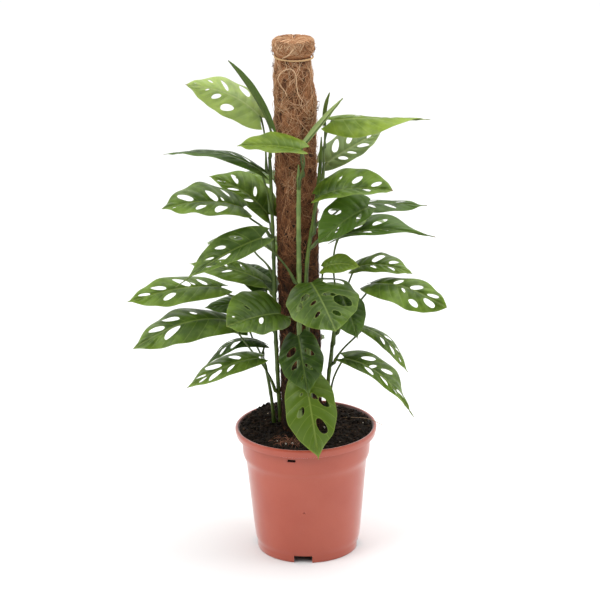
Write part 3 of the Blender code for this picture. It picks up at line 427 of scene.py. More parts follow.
def polypropylene():
    """Injection moulded polypropylene: an even, slightly chalky orange red with a satin skin."""
    material, tree, shader = new_material("moulded_polypropylene")
    place = add_node(tree, "TexCoord", "Object", {})
    cloud = add_node(tree, "TexNoise", "Fac", {"Vector": place, "Scale": 1.0 / (55.0 * MM), "Detail": 3.0})
    cloud = add_node(tree, "MapRange", "Result", {
        "Value": cloud, "From Min": 0.3, "From Max": 0.7}, interpolation_type="SMOOTHSTEP")
    colour = add_node(tree, "Mix", 2, {
        0: cloud, 6: linear("#A84329"), 7: linear("#AE4B31")}, data_type="RGBA")
    # The moulding's texture is a fine grain, about 0.5 mm, drawn 0.9 mm to show
    grain = add_node(tree, "TexNoise", "Fac", {"Vector": place, "Scale": 1.0 / (0.9 * MM), "Detail": 2.0})
    chalk = add_node(tree, "MapRange", "Result", {
        "Value": grain, "From Min": 0.45, "From Max": 0.8, "To Max": 0.25}, interpolation_type="SMOOTHSTEP")
    colour = add_node(tree, "Mix", 2, {0: chalk, 6: colour, 7: linear("#B95B3F")}, data_type="RGBA")
    # Painted shade darkens the inner side of the lip, where the lip and the soil keep out the light: above
    # 148 mm, and within 82 mm of the middle
    flat = add_node(tree, "Mapping", "Vector", {"Vector": place, "Scale": (1.0, 1.0, 0.0)})
    reach = add_node(tree, "VectorMath", "Value", {0: flat}, operation="LENGTH")
    height = add_node(tree, "SeparateXYZ", "Z", {0: place})
    above = add_node(tree, "MapRange", "Result", {
        "Value": height, "From Min": 148.0 * MM, "From Max": 148.5 * MM}, interpolation_type="SMOOTHSTEP")
    within = add_node(tree, "MapRange", "Result", {
        "Value": reach, "From Min": 80.8 * MM, "From Max": 82.2 * MM, "To Min": 0.75, "To Max": 0.0},
        interpolation_type="SMOOTHSTEP")
    painted_lip_shade = add_node(tree, "Math", "Value", {0: above, 1: within}, operation="MULTIPLY")
    colour = add_node(tree, "Mix", 2, {0: painted_lip_shade, 6: colour, 7: linear("#4A1D17")}, data_type="RGBA")
    tree.links.new(colour, shader.inputs["Base Color"])
    handled = add_node(tree, "TexNoise", "Fac", {"Vector": place, "Scale": 1.0 / (18.0 * MM), "Detail": 3.0})
    gloss = add_node(tree, "MapRange", "Result", {
        "Value": handled, "From Min": 0.3, "From Max": 0.7, "To Min": 0.30, "To Max": 0.40},
        interpolation_type="SMOOTHSTEP")
    tree.links.new(gloss, shader.inputs["Roughness"])
    normal = add_node(tree, "Bump", "Normal", {"Height": grain, "Strength": 0.25, "Distance": 0.1 * MM})
    tree.links.new(normal, shader.inputs["Normal"])
    shader.inputs["IOR"].default_value = 1.49
    shader.inputs["Specular IOR Level"].default_value = 0.75
    shader.inputs["Sheen Weight"].default_value = 0.7
    shader.inputs["Sheen Roughness"].default_value = 0.35
    return material


def dry_plant_matter(name, stops, roughness, grain, depth):
    """Matt plant matter whose shade comes from each fibre's or crumb's own tint, with a little grain."""
    material, tree, shader = new_material(name)
    place = add_node(tree, "TexCoord", "Object", {})
    tint = add_node(tree, "Attribute", "Fac", {}, attribute_name="tint")
    grit = add_node(tree, "TexNoise", "Fac", {"Vector": place, "Scale": 1.0 / (grain * MM), "Detail": 3.0})
    speck = add_node(tree, "Math", "Value", {0: grit, 1: 0.5}, operation="SUBTRACT")
    speck = add_node(tree, "Math", "Value", {0: speck, 1: 0.35}, operation="MULTIPLY")
    shade = add_node(tree, "Math", "Value", {0: tint, 1: speck}, operation="ADD")
    colour = add_node(tree, "ValToRGB", "Color", {"Fac": shade})
    ramp = colour.node.color_ramp.elements
    while len(ramp) < len(stops):
        ramp.new(0.5)
    for element, (position, code) in zip(ramp, stops):
        element.position = position
        element.color = linear(code)
    tree.links.new(colour, shader.inputs["Base Color"])
    normal = add_node(tree, "Bump", "Normal", {"Height": grit, "Strength": 0.6, "Distance": depth * MM})
    tree.links.new(normal, shader.inputs["Normal"])
    shader.inputs["Roughness"].default_value = roughness
    shader.inputs["Specular IOR Level"].default_value = 0.25
    return material


def sawn_softwood():
    """Sawn softwood: yellow brown with darker grain that runs along the stake, dry and matt."""
    material, tree, shader = new_material("sawn_softwood")
    place = add_node(tree, "TexCoord", "Object", {})
    # The grain is about 1.7 mm wide and runs for some 30 mm
    drawn_out = add_node(tree, "Mapping", "Vector", {"Vector": place, "Scale": (1.0, 1.0, 0.06)})
    grain = add_node(tree, "TexNoise", "Fac", {"Vector": drawn_out, "Scale": 0.6 / MM, "Detail": 4.0})
    grain = add_node(tree, "MapRange", "Result", {
        "Value": grain, "From Min": 0.35, "From Max": 0.65}, interpolation_type="SMOOTHSTEP")
    colour = add_node(tree, "Mix", 2, {
        0: grain, 6: linear("#8E6B43"), 7: linear("#C09A6B")}, data_type="RGBA")
    tree.links.new(colour, shader.inputs["Base Color"])
    shader.inputs["Roughness"].default_value = 0.7
    return material


# Modelling

def deselect():
    """An operator acts on all that is selected, so everything is deselected first."""
    bpy.ops.object.select_all(action="DESELECT")


def pick(obj):
    """Selects one piece alone and makes it the active one."""
    deselect()
    obj.select_set(True)
    bpy.context.view_layer.objects.active = obj


def edit(obj, verts=None, faces=None):
    """Opens a piece for editing with the given vertices or faces selected, or all of it."""
    pick(obj)
    by_face = faces is not None
    bpy.context.tool_settings.mesh_select_mode = (not by_face, False, by_face)
    if verts is None and faces is None:
        bpy.ops.object.mode_set(mode="EDIT")
        bpy.ops.mesh.select_all(action="SELECT")
        return
    mesh = obj.data
    mesh.vertices.foreach_set("select", np.zeros(len(mesh.vertices), bool) if by_face else verts)
    mesh.edges.foreach_set("select", np.zeros(len(mesh.edges), bool))
    mesh.polygons.foreach_set("select", faces if by_face else np.zeros(len(mesh.polygons), bool))
    bpy.ops.object.mode_set(mode="EDIT")


def leave_edit():
    """Closes a piece that was open for editing, so that its mesh can be read."""
    bpy.ops.object.mode_set(mode="OBJECT")


def read(items, key, width=1, kind=float):
    """What a mesh holds for each of its vertices, edges, corners or faces: one number, or a row of width."""
    flat = np.empty(len(items) * width, kind)
    items.foreach_get(key, flat)
    return flat.reshape(-1, width) if width > 1 else flat


def points_of(mesh):
    """A row of x, y and z in metres for each vertex."""
    return read(mesh.vertices, "co", 3)


def set_points(mesh, points):
    """Moves the vertices to new places, in metres."""
    mesh.vertices.foreach_set("co", np.asarray(points, float).ravel())
    mesh.update()


def set_number(mesh, name, values):
    """Gives each vertex its own number, which a material reads by name."""
    attribute = mesh.attributes.get(name) or mesh.attributes.new(name, "FLOAT", "POINT")
    attribute.data.foreach_set("value", np.asarray(values, np.float32))


def apply_modifier(obj, kind, **settings):
    """Adds a modifier with its settings and applies it to the mesh."""
    pick(obj)
    modifier = obj.modifiers.new(kind.title(), kind)
    for key, value in settings.items():
        setattr(modifier, key, value)
    bpy.ops.object.modifier_apply(modifier=modifier.name)


def smooth(obj, angle):
    """Shades a piece as smooth, apart from edges sharper than the angle."""
    pick(obj)
    bpy.ops.object.shade_smooth_by_angle(angle=math.radians(angle))


def draw_rings(profile, centre_x):
    """Draws the selected ring on through a profile of (radius, height), and closes it to a point."""
    for (radius, height), (next_radius, next_height) in zip(profile, profile[1:]):
        bpy.ops.mesh.extrude_region_move(
            TRANSFORM_OT_translate={"value": (0.0, 0.0, (next_height - height) * MM)})
        scale = next_radius / radius
        bpy.ops.transform.resize(
            value=(scale, scale, 1.0), center_override=(centre_x * MM, 0.0, next_height * MM))
    bpy.ops.mesh.extrude_region_move()
    bpy.ops.mesh.merge(type="CENTER")


def ring_stack(name, profile, segments, centre_x=0.0):
    """A piece drawn up from one ring through a profile of (radius, height), and open at that first ring."""
    radius, height = profile[0]
    deselect()
    bpy.ops.mesh.primitive_circle_add(
        vertices=segments, radius=radius * MM, location=(centre_x * MM, 0.0, height * MM))
    obj = bpy.context.object
    obj.name = name
    edit(obj)
    draw_rings(profile, centre_x)
    leave_edit()
    bpy.ops.object.transform_apply(location=True, rotation=True, scale=True)
    return obj


def cap_ring(obj, inner):
    """Closes the open ring that inner starts with, through rings further in, to a point in the middle."""
    edit(obj, verts=np.abs(points_of(obj.data)[:, 2] - inner[0][1] * MM) < 0.01 * MM)
    draw_rings(inner, 0.0)
    bpy.ops.mesh.select_all(action="SELECT")
    bpy.ops.mesh.normals_make_consistent(inside=False)
    leave_edit()


def tube(name, path, radii, sides):
    """A closed tube along a path, with its own radius at each point, as a mesh."""
    deselect()
    bpy.ops.curve.primitive_nurbs_path_add(location=(0.0, 0.0, 0.0))
    obj = bpy.context.object
    obj.name = name
    curve = obj.data
    curve.splines.clear()
    spline = curve.splines.new("POLY")
    spline.points.add(len(path) - 1)
    for point, place, radius in zip(spline.points, path, radii):
        point.co = (*(Vector(place) * MM), 1.0)
        point.radius = radius
    curve.bevel_depth = MM
    curve.bevel_resolution = sides // 2 - 2
    curve.use_fill_caps = True
    curve.use_path = False
    bpy.ops.object.convert(target="MESH")
    obj = bpy.context.object
    edit(obj)
    bpy.ops.mesh.remove_doubles(threshold=0.02 * MM)
    leave_edit()
    return obj


def join(objects):
    """Joins pieces into the first one."""
    deselect()
    for obj in objects:
        obj.select_set(True)
    bpy.context.view_layer.objects.active = objects[0]
    bpy.ops.object.join()
    return objects[0]


def finish_piece(obj, name, materials, node):
    """Names a piece, gives it its materials, attaches it to the root body, and hides the CAD node that it
    stands for.
    """
    obj.name = obj.data.name = name
    for material in materials:
        obj.data.materials.append(material)
    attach(obj, "root")
    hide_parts(node)


def smooth_path(points, step):
    """Points every step along a smooth curve through the given ones."""
    ends = [2 * points[0] - points[1]] + points + [2 * points[-1] - points[-2]]
    path = [points[0]]
    for before, start, end, after in zip(ends, ends[1:], ends[2:], ends[3:]):
        pieces = max(1, round((end - start).length / step))
        for i in range(1, pieces + 1):
            t = i / pieces
            path.append(
                0.5 * ((2 * start) + (end - before) * t
                       + (2 * before - 5 * start + 4 * end - after) * t ** 2
                       + (3 * start - before - 3 * end + after) * t ** 3))
    return path


# The pot

def on_pot(radius, height, angle):
    """A place on the pot, in metres."""
    turn = math.radians(angle)
    return (radius * math.cos(turn) * MM, radius * math.sin(turn) * MM, height * MM)


def cutter(size, radius, height, angle):
    """A box with softened edges, placed on the pot's wall."""
    deselect()
    bpy.ops.mesh.primitive_cube_add(
        size=1.0, location=on_pot(radius, height, angle), rotation=(0.0, 0.0, math.radians(angle)))
    obj = bpy.context.object
    obj.scale = Vector(size) * MM
    bpy.ops.object.transform_apply(location=True, rotation=True, scale=True)
    edit(obj)
    bpy.ops.mesh.bevel(offset=CUTTER_EDGE * MM, segments=2, affect="EDGES")
    leave_edit()
    return obj


def make_pot():
    """The pot's shell, with its notches, slot and gate mark cut out of it."""
    pot = ring_stack("monstera_pot", POT_OUTSIDE + POT_INSIDE, POT_SEGMENTS)
    cap_ring(pot, POT_OUTSIDE[:1] + UNDERSIDE)
    boxes = [cutter(NOTCH, *NOTCH_PLACE, angle) for angle in NOTCH_ANGLES]
    boxes.append(cutter(SLOT, *SLOT_PLACE, SLOT_ANGLE))
    deselect()
    bpy.ops.mesh.primitive_uv_sphere_add(
        segments=12, ring_count=8, radius=GATE_MARK_SIZE * MM, location=on_pot(*GATE_MARK))
    boxes.append(bpy.context.object)
    for box in boxes:
        # Each cutter is used once and then taken away
        apply_modifier(pot, "BOOLEAN", operation="DIFFERENCE", solver="EXACT", object=box)
        bpy.data.objects.remove(box, do_unlink=True)
    smooth(pot, 32.0)
    finish_piece(pot, "monstera_pot", [polypropylene()], "pot")


# The soil

def unevenness(spot, layers=4):
    """A smooth random rise and fall, about one unit across. Each further layer is 2.1 times finer."""
    return noise.fractal(spot, 0.9, 2.1, layers)


def soil_height(x, y):
    """The height of the loose soil at a place in the pot."""
    climb = max(0.0, (math.hypot(x, y) - SOIL_LEVEL_REACH) / SOIL_CLIMB)
    level = SOIL_MIDDLE + (SOIL_EDGE - SOIL_MIDDLE) * climb
    mound = math.exp(-((x - MOUND_PLACE[0]) ** 2 + (y - MOUND_PLACE[1]) ** 2) / MOUND_SPREAD ** 2)
    return level + MOUND_RISE * mound + SOIL_LUMP * unevenness(Vector((x, y, 3.0)) / SOIL_LUMP_SIZE)


def crumb_shapes(count):
    """A few rough lumps of a few dozen faces, which the crumbs of soil are copied from."""
    shapes = []
    for i in range(count):
        deselect()
        bpy.ops.mesh.primitive_ico_sphere_add(
            subdivisions=1 if i % 2 else 2, radius=1.0, location=(0.0, 0.0, 0.0))
        obj = bpy.context.object
        edit(obj)
        bpy.ops.transform.vertex_random(offset=0.30, uniform=0.0, normal=0.7, seed=i + 1)
        leave_edit()
        faces = [tuple(face.vertices) for face in obj.data.polygons]
        shapes.append((points_of(obj.data), faces))
        bpy.data.objects.remove(obj, do_unlink=True)
    return shapes


def gather(name, pieces):
    """One mesh from many small shapes: pieces are (points in millimetres, faces, tint)."""
    points, faces, tints = [], [], []
    for piece_points, piece_faces, tint in pieces:
        start = len(points)
        points.extend(piece_points)
        faces.extend(tuple(start + i for i in face) for face in piece_faces)
        tints.extend([tint] * len(piece_points))
    mesh = bpy.data.meshes.new(name)
    mesh.from_pydata([tuple(point) for point in np.array(points) * MM], [], faces)
    set_number(mesh, "tint", tints)
    obj = bpy.data.objects.new(name, mesh)
    bpy.context.scene.collection.objects.link(obj)
    return obj


def strand(path, radius, tint, taper=0.5):
    """A three-sided fibre along a path, thinner at its ends, closed at both."""
    path = np.asarray(path, float)
    count = len(path)
    ahead = np.gradient(path, axis=0)
    ahead /= np.linalg.norm(ahead, axis=1)[:, None] + 1e-9
    lean = np.array([0.31, 0.52, 0.79])
    side = np.cross(ahead, lean)
    side /= np.linalg.norm(side, axis=1)[:, None] + 1e-9
    over = np.cross(ahead, side)
    share = np.linspace(0.0, 1.0, count)
    thick = radius * (taper + (1.0 - taper) * np.sin(np.pi * share) ** 0.5)
    points = []
    for corner in range(3):
        angle = corner * math.tau / 3
        points.append(path + (side * math.cos(angle) + over * math.sin(angle)) * thick[:, None])
    points = np.stack(points, axis=1).reshape(-1, 3)
    faces = [(3 * i + j, 3 * i + (j + 1) % 3, 3 * i + 3 + (j + 1) % 3, 3 * i + 3 + j)
             for i in range(count - 1) for j in range(3)]
    faces += [(2, 1, 0), (3 * count - 3, 3 * count - 2, 3 * count - 1)]
    return points, faces, tint


def crumbs(rng, shapes):
    """Crumbs of peat all over the soil, and a few pale specks among them."""
    pieces = []
    for i in range(CRUMBS + PALE_CRUMBS):
        reach, turn = SOIL_REACH * math.sqrt(rng.random()), rng.random() * math.tau
        x, y = reach * math.cos(turn), reach * math.sin(turn)
        size = rng.uniform(*(SMALL_CRUMB if i < CRUMBS * SMALL_CRUMBS else LARGE_CRUMB))
        tint = min(0.5, abs(rng.gauss(0.15, 0.11)))
        if i >= CRUMBS:
            size, tint = rng.uniform(*PALE_CRUMB), rng.uniform(0.8, 1.0)
        if reach + size > SOIL_REACH:
            continue
        shape, faces = rng.choice(shapes)
        stretch = np.array([rng.uniform(0.7, 1.5), rng.uniform(0.6, 1.1), rng.uniform(0.4, 0.9)]) * size
        turned = np.array(Matrix.Rotation(rng.random() * math.tau, 3, UP)
                          @ Matrix.Rotation(rng.uniform(-0.7, 0.7), 3, "X"))
        place = np.array([x, y, soil_height(x, y) + 0.25 * size])
        pieces.append((shape * stretch @ turned.T + place, faces, tint))
    return pieces


def peat_fibres(rng):
    """Fibres that wander over the soil, and a thicker tangle of them in one place."""
    pieces = []
    for i in range(PEAT_FIBRES + TANGLE_FIBRES):
        tangled = i >= PEAT_FIBRES
        reach, turn = PEAT_FIBRE_REACH * math.sqrt(rng.random()), rng.random() * math.tau
        x, y = reach * math.cos(turn), reach * math.sin(turn)
        length, tint, radius = rng.uniform(6.0, 18.0), rng.uniform(0.25, 0.5), 0.28
        if tangled:
            x, y = rng.gauss(TANGLE_PLACE[0], 7.5), rng.gauss(TANGLE_PLACE[1], 8.5)
            length, tint, radius = rng.uniform(7.0, 16.0), rng.uniform(0.52, 0.70), 0.36
        heading, bend = rng.random() * math.tau, rng.uniform(-2.2, 2.2)
        path, at = [], np.array([x, y])
        lift = rng.uniform(0.4, 2.2) + (1.6 if tangled else 0.0)
        for step in range(FIBRE_BEND_STEPS + 1):
            share = step / FIBRE_BEND_STEPS
            path.append((at[0], at[1], soil_height(*at) + 0.3 + lift * math.sin(math.pi * share)))
            heading += bend / FIBRE_BEND_STEPS
            at = at + np.array([math.cos(heading), math.sin(heading)]) * length / FIBRE_BEND_STEPS
        if max(math.hypot(x, y) for x, y, z in path) < LOOSE_REACH:
            pieces.append(strand(path, radius, tint))
    return pieces


def make_soil():
    """The block of peat, its loose surface, and what lies on it."""
    rng = random.Random(11)
    rings = [(SOIL_REACH * (1.0 - i / (SOIL_RINGS + 0.2)), SOIL_EDGE) for i in range(1, SOIL_RINGS + 1)]
    soil = ring_stack("monstera_soil", SOIL_WALL + rings, SOIL_SEGMENTS)
    cap_ring(soil, [SOIL_WALL[0], (SOIL_FLOOR_REACH, SOIL_WALL[0][1])])
    points = points_of(soil.data) / MM
    for i in np.nonzero(points[:, 2] > SOIL_EDGE - 0.5)[0]:
        points[i, 2] = soil_height(points[i, 0], points[i, 1])
    set_points(soil.data, points * MM)
    set_number(soil.data, "tint", [BARE_SOIL_TINT] * len(points))
    shapes = crumb_shapes(CRUMB_SHAPES)
    pieces = crumbs(rng, shapes) + peat_fibres(rng)
    # A straw that leans over the lip on the right, and white flakes near the front edge
    pieces.append(strand(smooth_path([Vector(point) for point in STRAW], 4.0), 0.45, 0.78, 0.7))
    for x, y, size in FLAKES:
        shape, faces = shapes[0]
        flake = shape * np.array([0.5, 0.5, 1.0]) * size + np.array([x, y, soil_height(x, y) + 2.0])
        pieces.append((flake, faces, 1.0))
    soil = join([soil, gather("crumbs", pieces)])
    # Peat is nearly black and quite matt, with red brown fibres and a few pale specks of perlite
    peat = dry_plant_matter(
        "moist_peat", [(0.0, "#100B07"), (0.25, "#261B12"), (0.5, "#4E3827"), (0.68, "#93604C"),
                       (0.8, "#B99C7C"), (1.0, "#D9D4CB")], 0.92, 1.4, 0.5)
    finish_piece(soil, "monstera_soil", [peat], "soil")


# The coir pole

def pole_axis(height):
    """Where the leaning pole's middle is at a height."""
    return POLE_X - POLE_LEAN * (height - POLE_MIDDLE)


def pole_radius(height):
    """The sleeve's radius: it bulges at the head, draws in at the tie and rounds over at the top."""
    if height > HEAD_EDGE:
        share = min(1.0, (height - HEAD_EDGE) / (POLE_TOP - HEAD_EDGE))
        return HEAD_RADIUS * math.sqrt(max(0.0, 1.0 - share ** 5))
    waist = math.exp(-((height - TIE_HEIGHT + 3.0) / WAIST_SPREAD) ** 2)
    head = (POLE_RADIUS - HEAD_RADIUS) * min(1.0, max(0.0, (height - TIE_HEIGHT) / 6.0))
    return POLE_RADIUS - head - WAIST_DEPTH * waist * (1.0 - head)


def lump(angle, height):
    """How far the matted surface stands out at a place."""
    spot = Vector((math.cos(angle) * 24.0, math.sin(angle) * 24.0, height))
    bulge = BULGE_RISE * math.exp(-((height - BULGE_HEIGHT) / BULGE_SPREAD) ** 2)
    hollow = HOLLOW_DEPTH * math.exp(-((height - HOLLOW_HEIGHT) / HOLLOW_SPREAD) ** 4)
    return MAT_LUMP * unevenness(spot / MAT_LUMP_SIZE) + (bulge - hollow) * max(0.0, math.cos(angle))


def on_pole(angle, height, lift):
    """A place on the matted surface, or lifted off it."""
    turn = math.radians(angle)
    radius = pole_radius(height) + lump(turn, height) + lift
    return (pole_axis(height) + radius * math.cos(turn), radius * math.sin(turn), height)


def coir_tint(height):
    """How pale the coir is: dried at the top, and darker towards the bottom, partly because it is wet there
    and partly as painted shade of the leaves over it.
    """
    return float(np.interp(height, COIR_HEIGHTS, COIR_TINTS))


def on_head(share):
    """Radius and height on the folded head, from the tie (0) over the edge to the middle of the top (1)."""
    shares, radii, heights = zip(*HEAD)
    return float(np.interp(share, shares, radii)), float(np.interp(share, shares, heights))


def matted_sleeve():
    """The mat under the loose fibres: uneven, with painted shade: it is darker than the fibres, and noise
    makes it lighter and darker in patches as if in clefts.
    """
    heights = [*np.arange(POLE_BOTTOM, POLE_NECK, POLE_STEP), *np.arange(POLE_NECK, HEAD_EDGE, NECK_STEP)]
    profile = [(pole_radius(height), height) for height in heights + HEAD_RINGS] + [(4.0, 624.4)]
    sleeve = ring_stack("monstera_coir_pole", profile, POLE_SEGMENTS, POLE_X)
    cap_ring(sleeve, profile[:1])
    points = points_of(sleeve.data) / MM
    tints = []
    for point in points:
        turn = math.atan2(point[1], point[0] - POLE_X)
        distance = math.hypot(point[1], point[0] - POLE_X)
        grown = distance + (lump(turn, point[2]) - 0.8) * min(1.0, distance / 20.0)
        point[0] = pole_axis(point[2]) + grown * math.cos(turn)
        point[1] = grown * math.sin(turn)
        # Painted shade: the mat stays darker than its fibres, and noise darkens it in patches as if in
        # clefts
        painted_cleft_shade = CLEFT_SHADE * unevenness(Vector(point) / CLEFT_SIZE, 3)
        sleeve_tint = MAT_TINT + MAT_TINT_SHARE * coir_tint(point[2]) + painted_cleft_shade
        tints.append(HEAD_MAT_TINT if point[2] > TIE_HEIGHT + 3 else sleeve_tint)
    set_points(sleeve.data, points * MM)
    set_number(sleeve.data, "tint", tints)
    return sleeve


def sleeve_fibres(rng):
    """Fibres that lie on the sleeve at all angles. A few stand off it."""
    pieces = []
    for i in range(FIBRES):
        height = rng.uniform(POLE_BOTTOM + 4.0, TIE_HEIGHT - 1.0)
        angle = rng.uniform(0.0, 360.0)
        length = rng.uniform(12.0, 40.0)
        slant = math.radians(rng.gauss(0.0, 48.0))
        rise, run = length * math.cos(slant), math.degrees(length * math.sin(slant) / POLE_RADIUS)
        bend = rng.gauss(0.0, 14.0)
        lift = rng.uniform(0.0, 1.1) if rng.random() < 0.93 else rng.uniform(1.2, 3.2)
        path = []
        for share in np.arange(6) / 5:
            level = min(TIE_HEIGHT, max(POLE_BOTTOM, height + rise * (share - 0.5)))
            around = angle + run * (share - 0.5) + bend * math.sin(math.pi * share)
            path.append(on_pole(around, level, -0.35 + lift * math.sin(math.pi * share) ** 0.8))
        patch = PATCH_TINT * noise.noise(Vector(path[2]) / 17.0)
        tint = min(0.95, max(0.02, rng.gauss(coir_tint(height) + patch, 0.14)))
        pieces.append(strand(path, rng.uniform(0.16, 0.34), tint))
    return pieces


def head_fibres(rng):
    """Fibres that fold over the head from the tie to the middle of the top."""
    pieces = []
    for i in range(CAP_FIBRES):
        angle = rng.uniform(0.0, 360.0)
        start = rng.uniform(0.0, 0.45) if rng.random() < 0.7 else rng.uniform(0.2, 0.7)
        end = min(0.99, start + rng.uniform(0.3, 0.6))
        drift, lift = rng.gauss(0.0, 38.0), rng.uniform(-0.3, 1.5)
        path = []
        for share in np.arange(8) / 7:
            radius, level = on_head(start + (end - start) * share)
            turn = math.radians(angle + drift * share)
            spot = Vector((radius * math.cos(turn), radius * math.sin(turn), level))
            swell = 1.5 * noise.noise(spot / 8.0)
            radius += lift * math.sin(math.pi * share) + swell * min(1.0, radius / 20.0)
            top = min(HEAD_LIMIT, level + 0.5 * lift + swell * max(0.0, 1.0 - radius / 26.0))
            path.append((pole_axis(level) + radius * math.cos(turn), radius * math.sin(turn), top))
        patch = PATCH_TINT * noise.noise(Vector(path[3]) / 11.0)
        thickness = rng.uniform(0.22, 0.38)
        pieces.append(strand(path, thickness, min(1.0, max(0.25, rng.gauss(0.70 + patch, 0.15)))))
    return pieces


def loose_strands(rng):
    """The thick strands that have come loose at the front, and the tufts at the sides."""
    pieces = []
    for route, radius, lift in STRANDS:
        path = smooth_path([Vector(on_pole(angle, height, lift)) for angle, height in route], 3.0)
        pieces.append(strand(path, radius, 0.96, 0.6))
    for angle, height in TUFTS:
        for i in range(FIBRES_IN_TUFT):
            start = Vector(on_pole(angle + rng.uniform(-8, 8), height + rng.uniform(-3, 3), -0.5))
            out = Vector((start.x - POLE_X, start.y, 0.0)).normalized()
            reach = rng.uniform(2.0, 4.2)
            path = [start, start + out * reach * 0.6 + UP * rng.uniform(-1, 2),
                    start + out * reach + UP * rng.uniform(-2, 4)]
            pieces.append(strand(smooth_path(path, 1.2), 0.28, rng.uniform(0.15, 0.5)))
    return pieces


def make_pole():
    """The sleeve of coir with all its loose fibres."""
    rng = random.Random(5)
    fibres = sleeve_fibres(rng) + head_fibres(rng) + loose_strands(rng)
    pole = join([matted_sleeve(), gather("fibres", fibres)])
    smooth(pole, 60.0)
    # Coconut fibre: coarse and matt, red brown inside the mat and straw coloured where it has dried
    coir = dry_plant_matter(
        "coconut_fibre", [(0.0, "#23150C"), (0.25, "#653F27"), (0.5, "#986743"), (0.75, "#BE9069"),
                          (1.0, "#DCBC98")], 0.85, 1.6, 0.6)
    finish_piece(pole, "monstera_coir_pole", [coir], "coir_sleeve")


def make_tie():
    """Two turns of two-ply twine. The second turn climbs to the right and crosses the first."""
    plies = []
    for number, (rise, phase) in enumerate(TIE_TURNS):
        for ply in range(2):
            path = []
            for turn in math.tau * np.arange(TIE_STEPS + 1) / TIE_STEPS:
                climb = 0.6 * rise * math.sin(turn - 1.2 + 0.3 * number)
                height = TIE_HEIGHT + SECOND_TURN_UP * number + climb
                twist = turn * TIE_TWISTS + ply * math.pi + phase
                radius = TIE_RADIUS + SECOND_TURN_OUT * number + PLY_OFFSET * math.cos(twist)
                path.append((pole_axis(height) + radius * math.cos(turn), radius * math.sin(turn),
                             height + PLY_OFFSET * math.sin(twist)))
            plies.append(tube("ply", path, [PLY_RADIUS] * len(path), 6))
    tie = join(plies)
    smooth(tie, 60.0)
    set_number(tie.data, "tint", [0.6] * len(tie.data.vertices))
    # Sisal twine: pale straw, hairy and matt
    sisal = dry_plant_matter(
        "sisal_twine", [(0.0, "#8A6742"), (0.6, "#C7A376"), (1.0, "#E2C69B")], 0.8, 0.8, 0.3)
    finish_piece(tie, "monstera_top_tie", [sisal], "top_tie")


# The stems

def stem_path(stem, step):
    """A stem's centre line, from its foot in the soil to its top."""
    points = stem[2]
    foot = Vector((*points[0], STEM_GROUND - ROOT_DEPTH))
    ground = Vector((*points[0], STEM_GROUND + 1.0))
    return [foot] + smooth_path([ground] + [Vector(point) for point in points[1:]], step)


def stem_radius(stem, height):
    """A stem thins evenly towards its top."""
    top = stem[2][-1][2]
    share = min(1.0, max(0.0, (height - STEM_GROUND) / (top - STEM_GROUND)))
    return stem[1] * (1.0 - (1.0 - STEM_TAPER) * share)


def place_on_stem(stem, height):
    """The middle of a stem at a height."""
    path = stem_path(stem, 26.0)
    for low, high in zip(path, path[1:]):
        if low.z <= height <= high.z:
            return low.lerp(high, (height - low.z) / (high.z - low.z))
    return path[-1]


def make_stem(stem, skin):
    """A stem with knuckles at even distances, closed at its growing point."""
    name, radius, points = stem
    path = stem_path(stem, STEM_STEP)
    radii = []
    for place in path:
        # Each stem starts its knuckles at another height
        offset = (place.z + 11.0 * radius) % NODE_SPACING
        near = min(offset, NODE_SPACING - offset)
        knuckle = 1.0 + NODE_SWELL * math.exp(-(near / NODE_LENGTH) ** 2)
        closing = min(1.0, max(0.12, (points[-1][2] - place.z) / STEM_TIP) ** 0.6)
        radii.append(stem_radius(stem, place.z) * knuckle * closing)
    obj = tube(name, path, radii, 14)
    smooth(obj, 60.0)
    finish_piece(obj, "monstera_" + name, [skin], name)


# The leaves

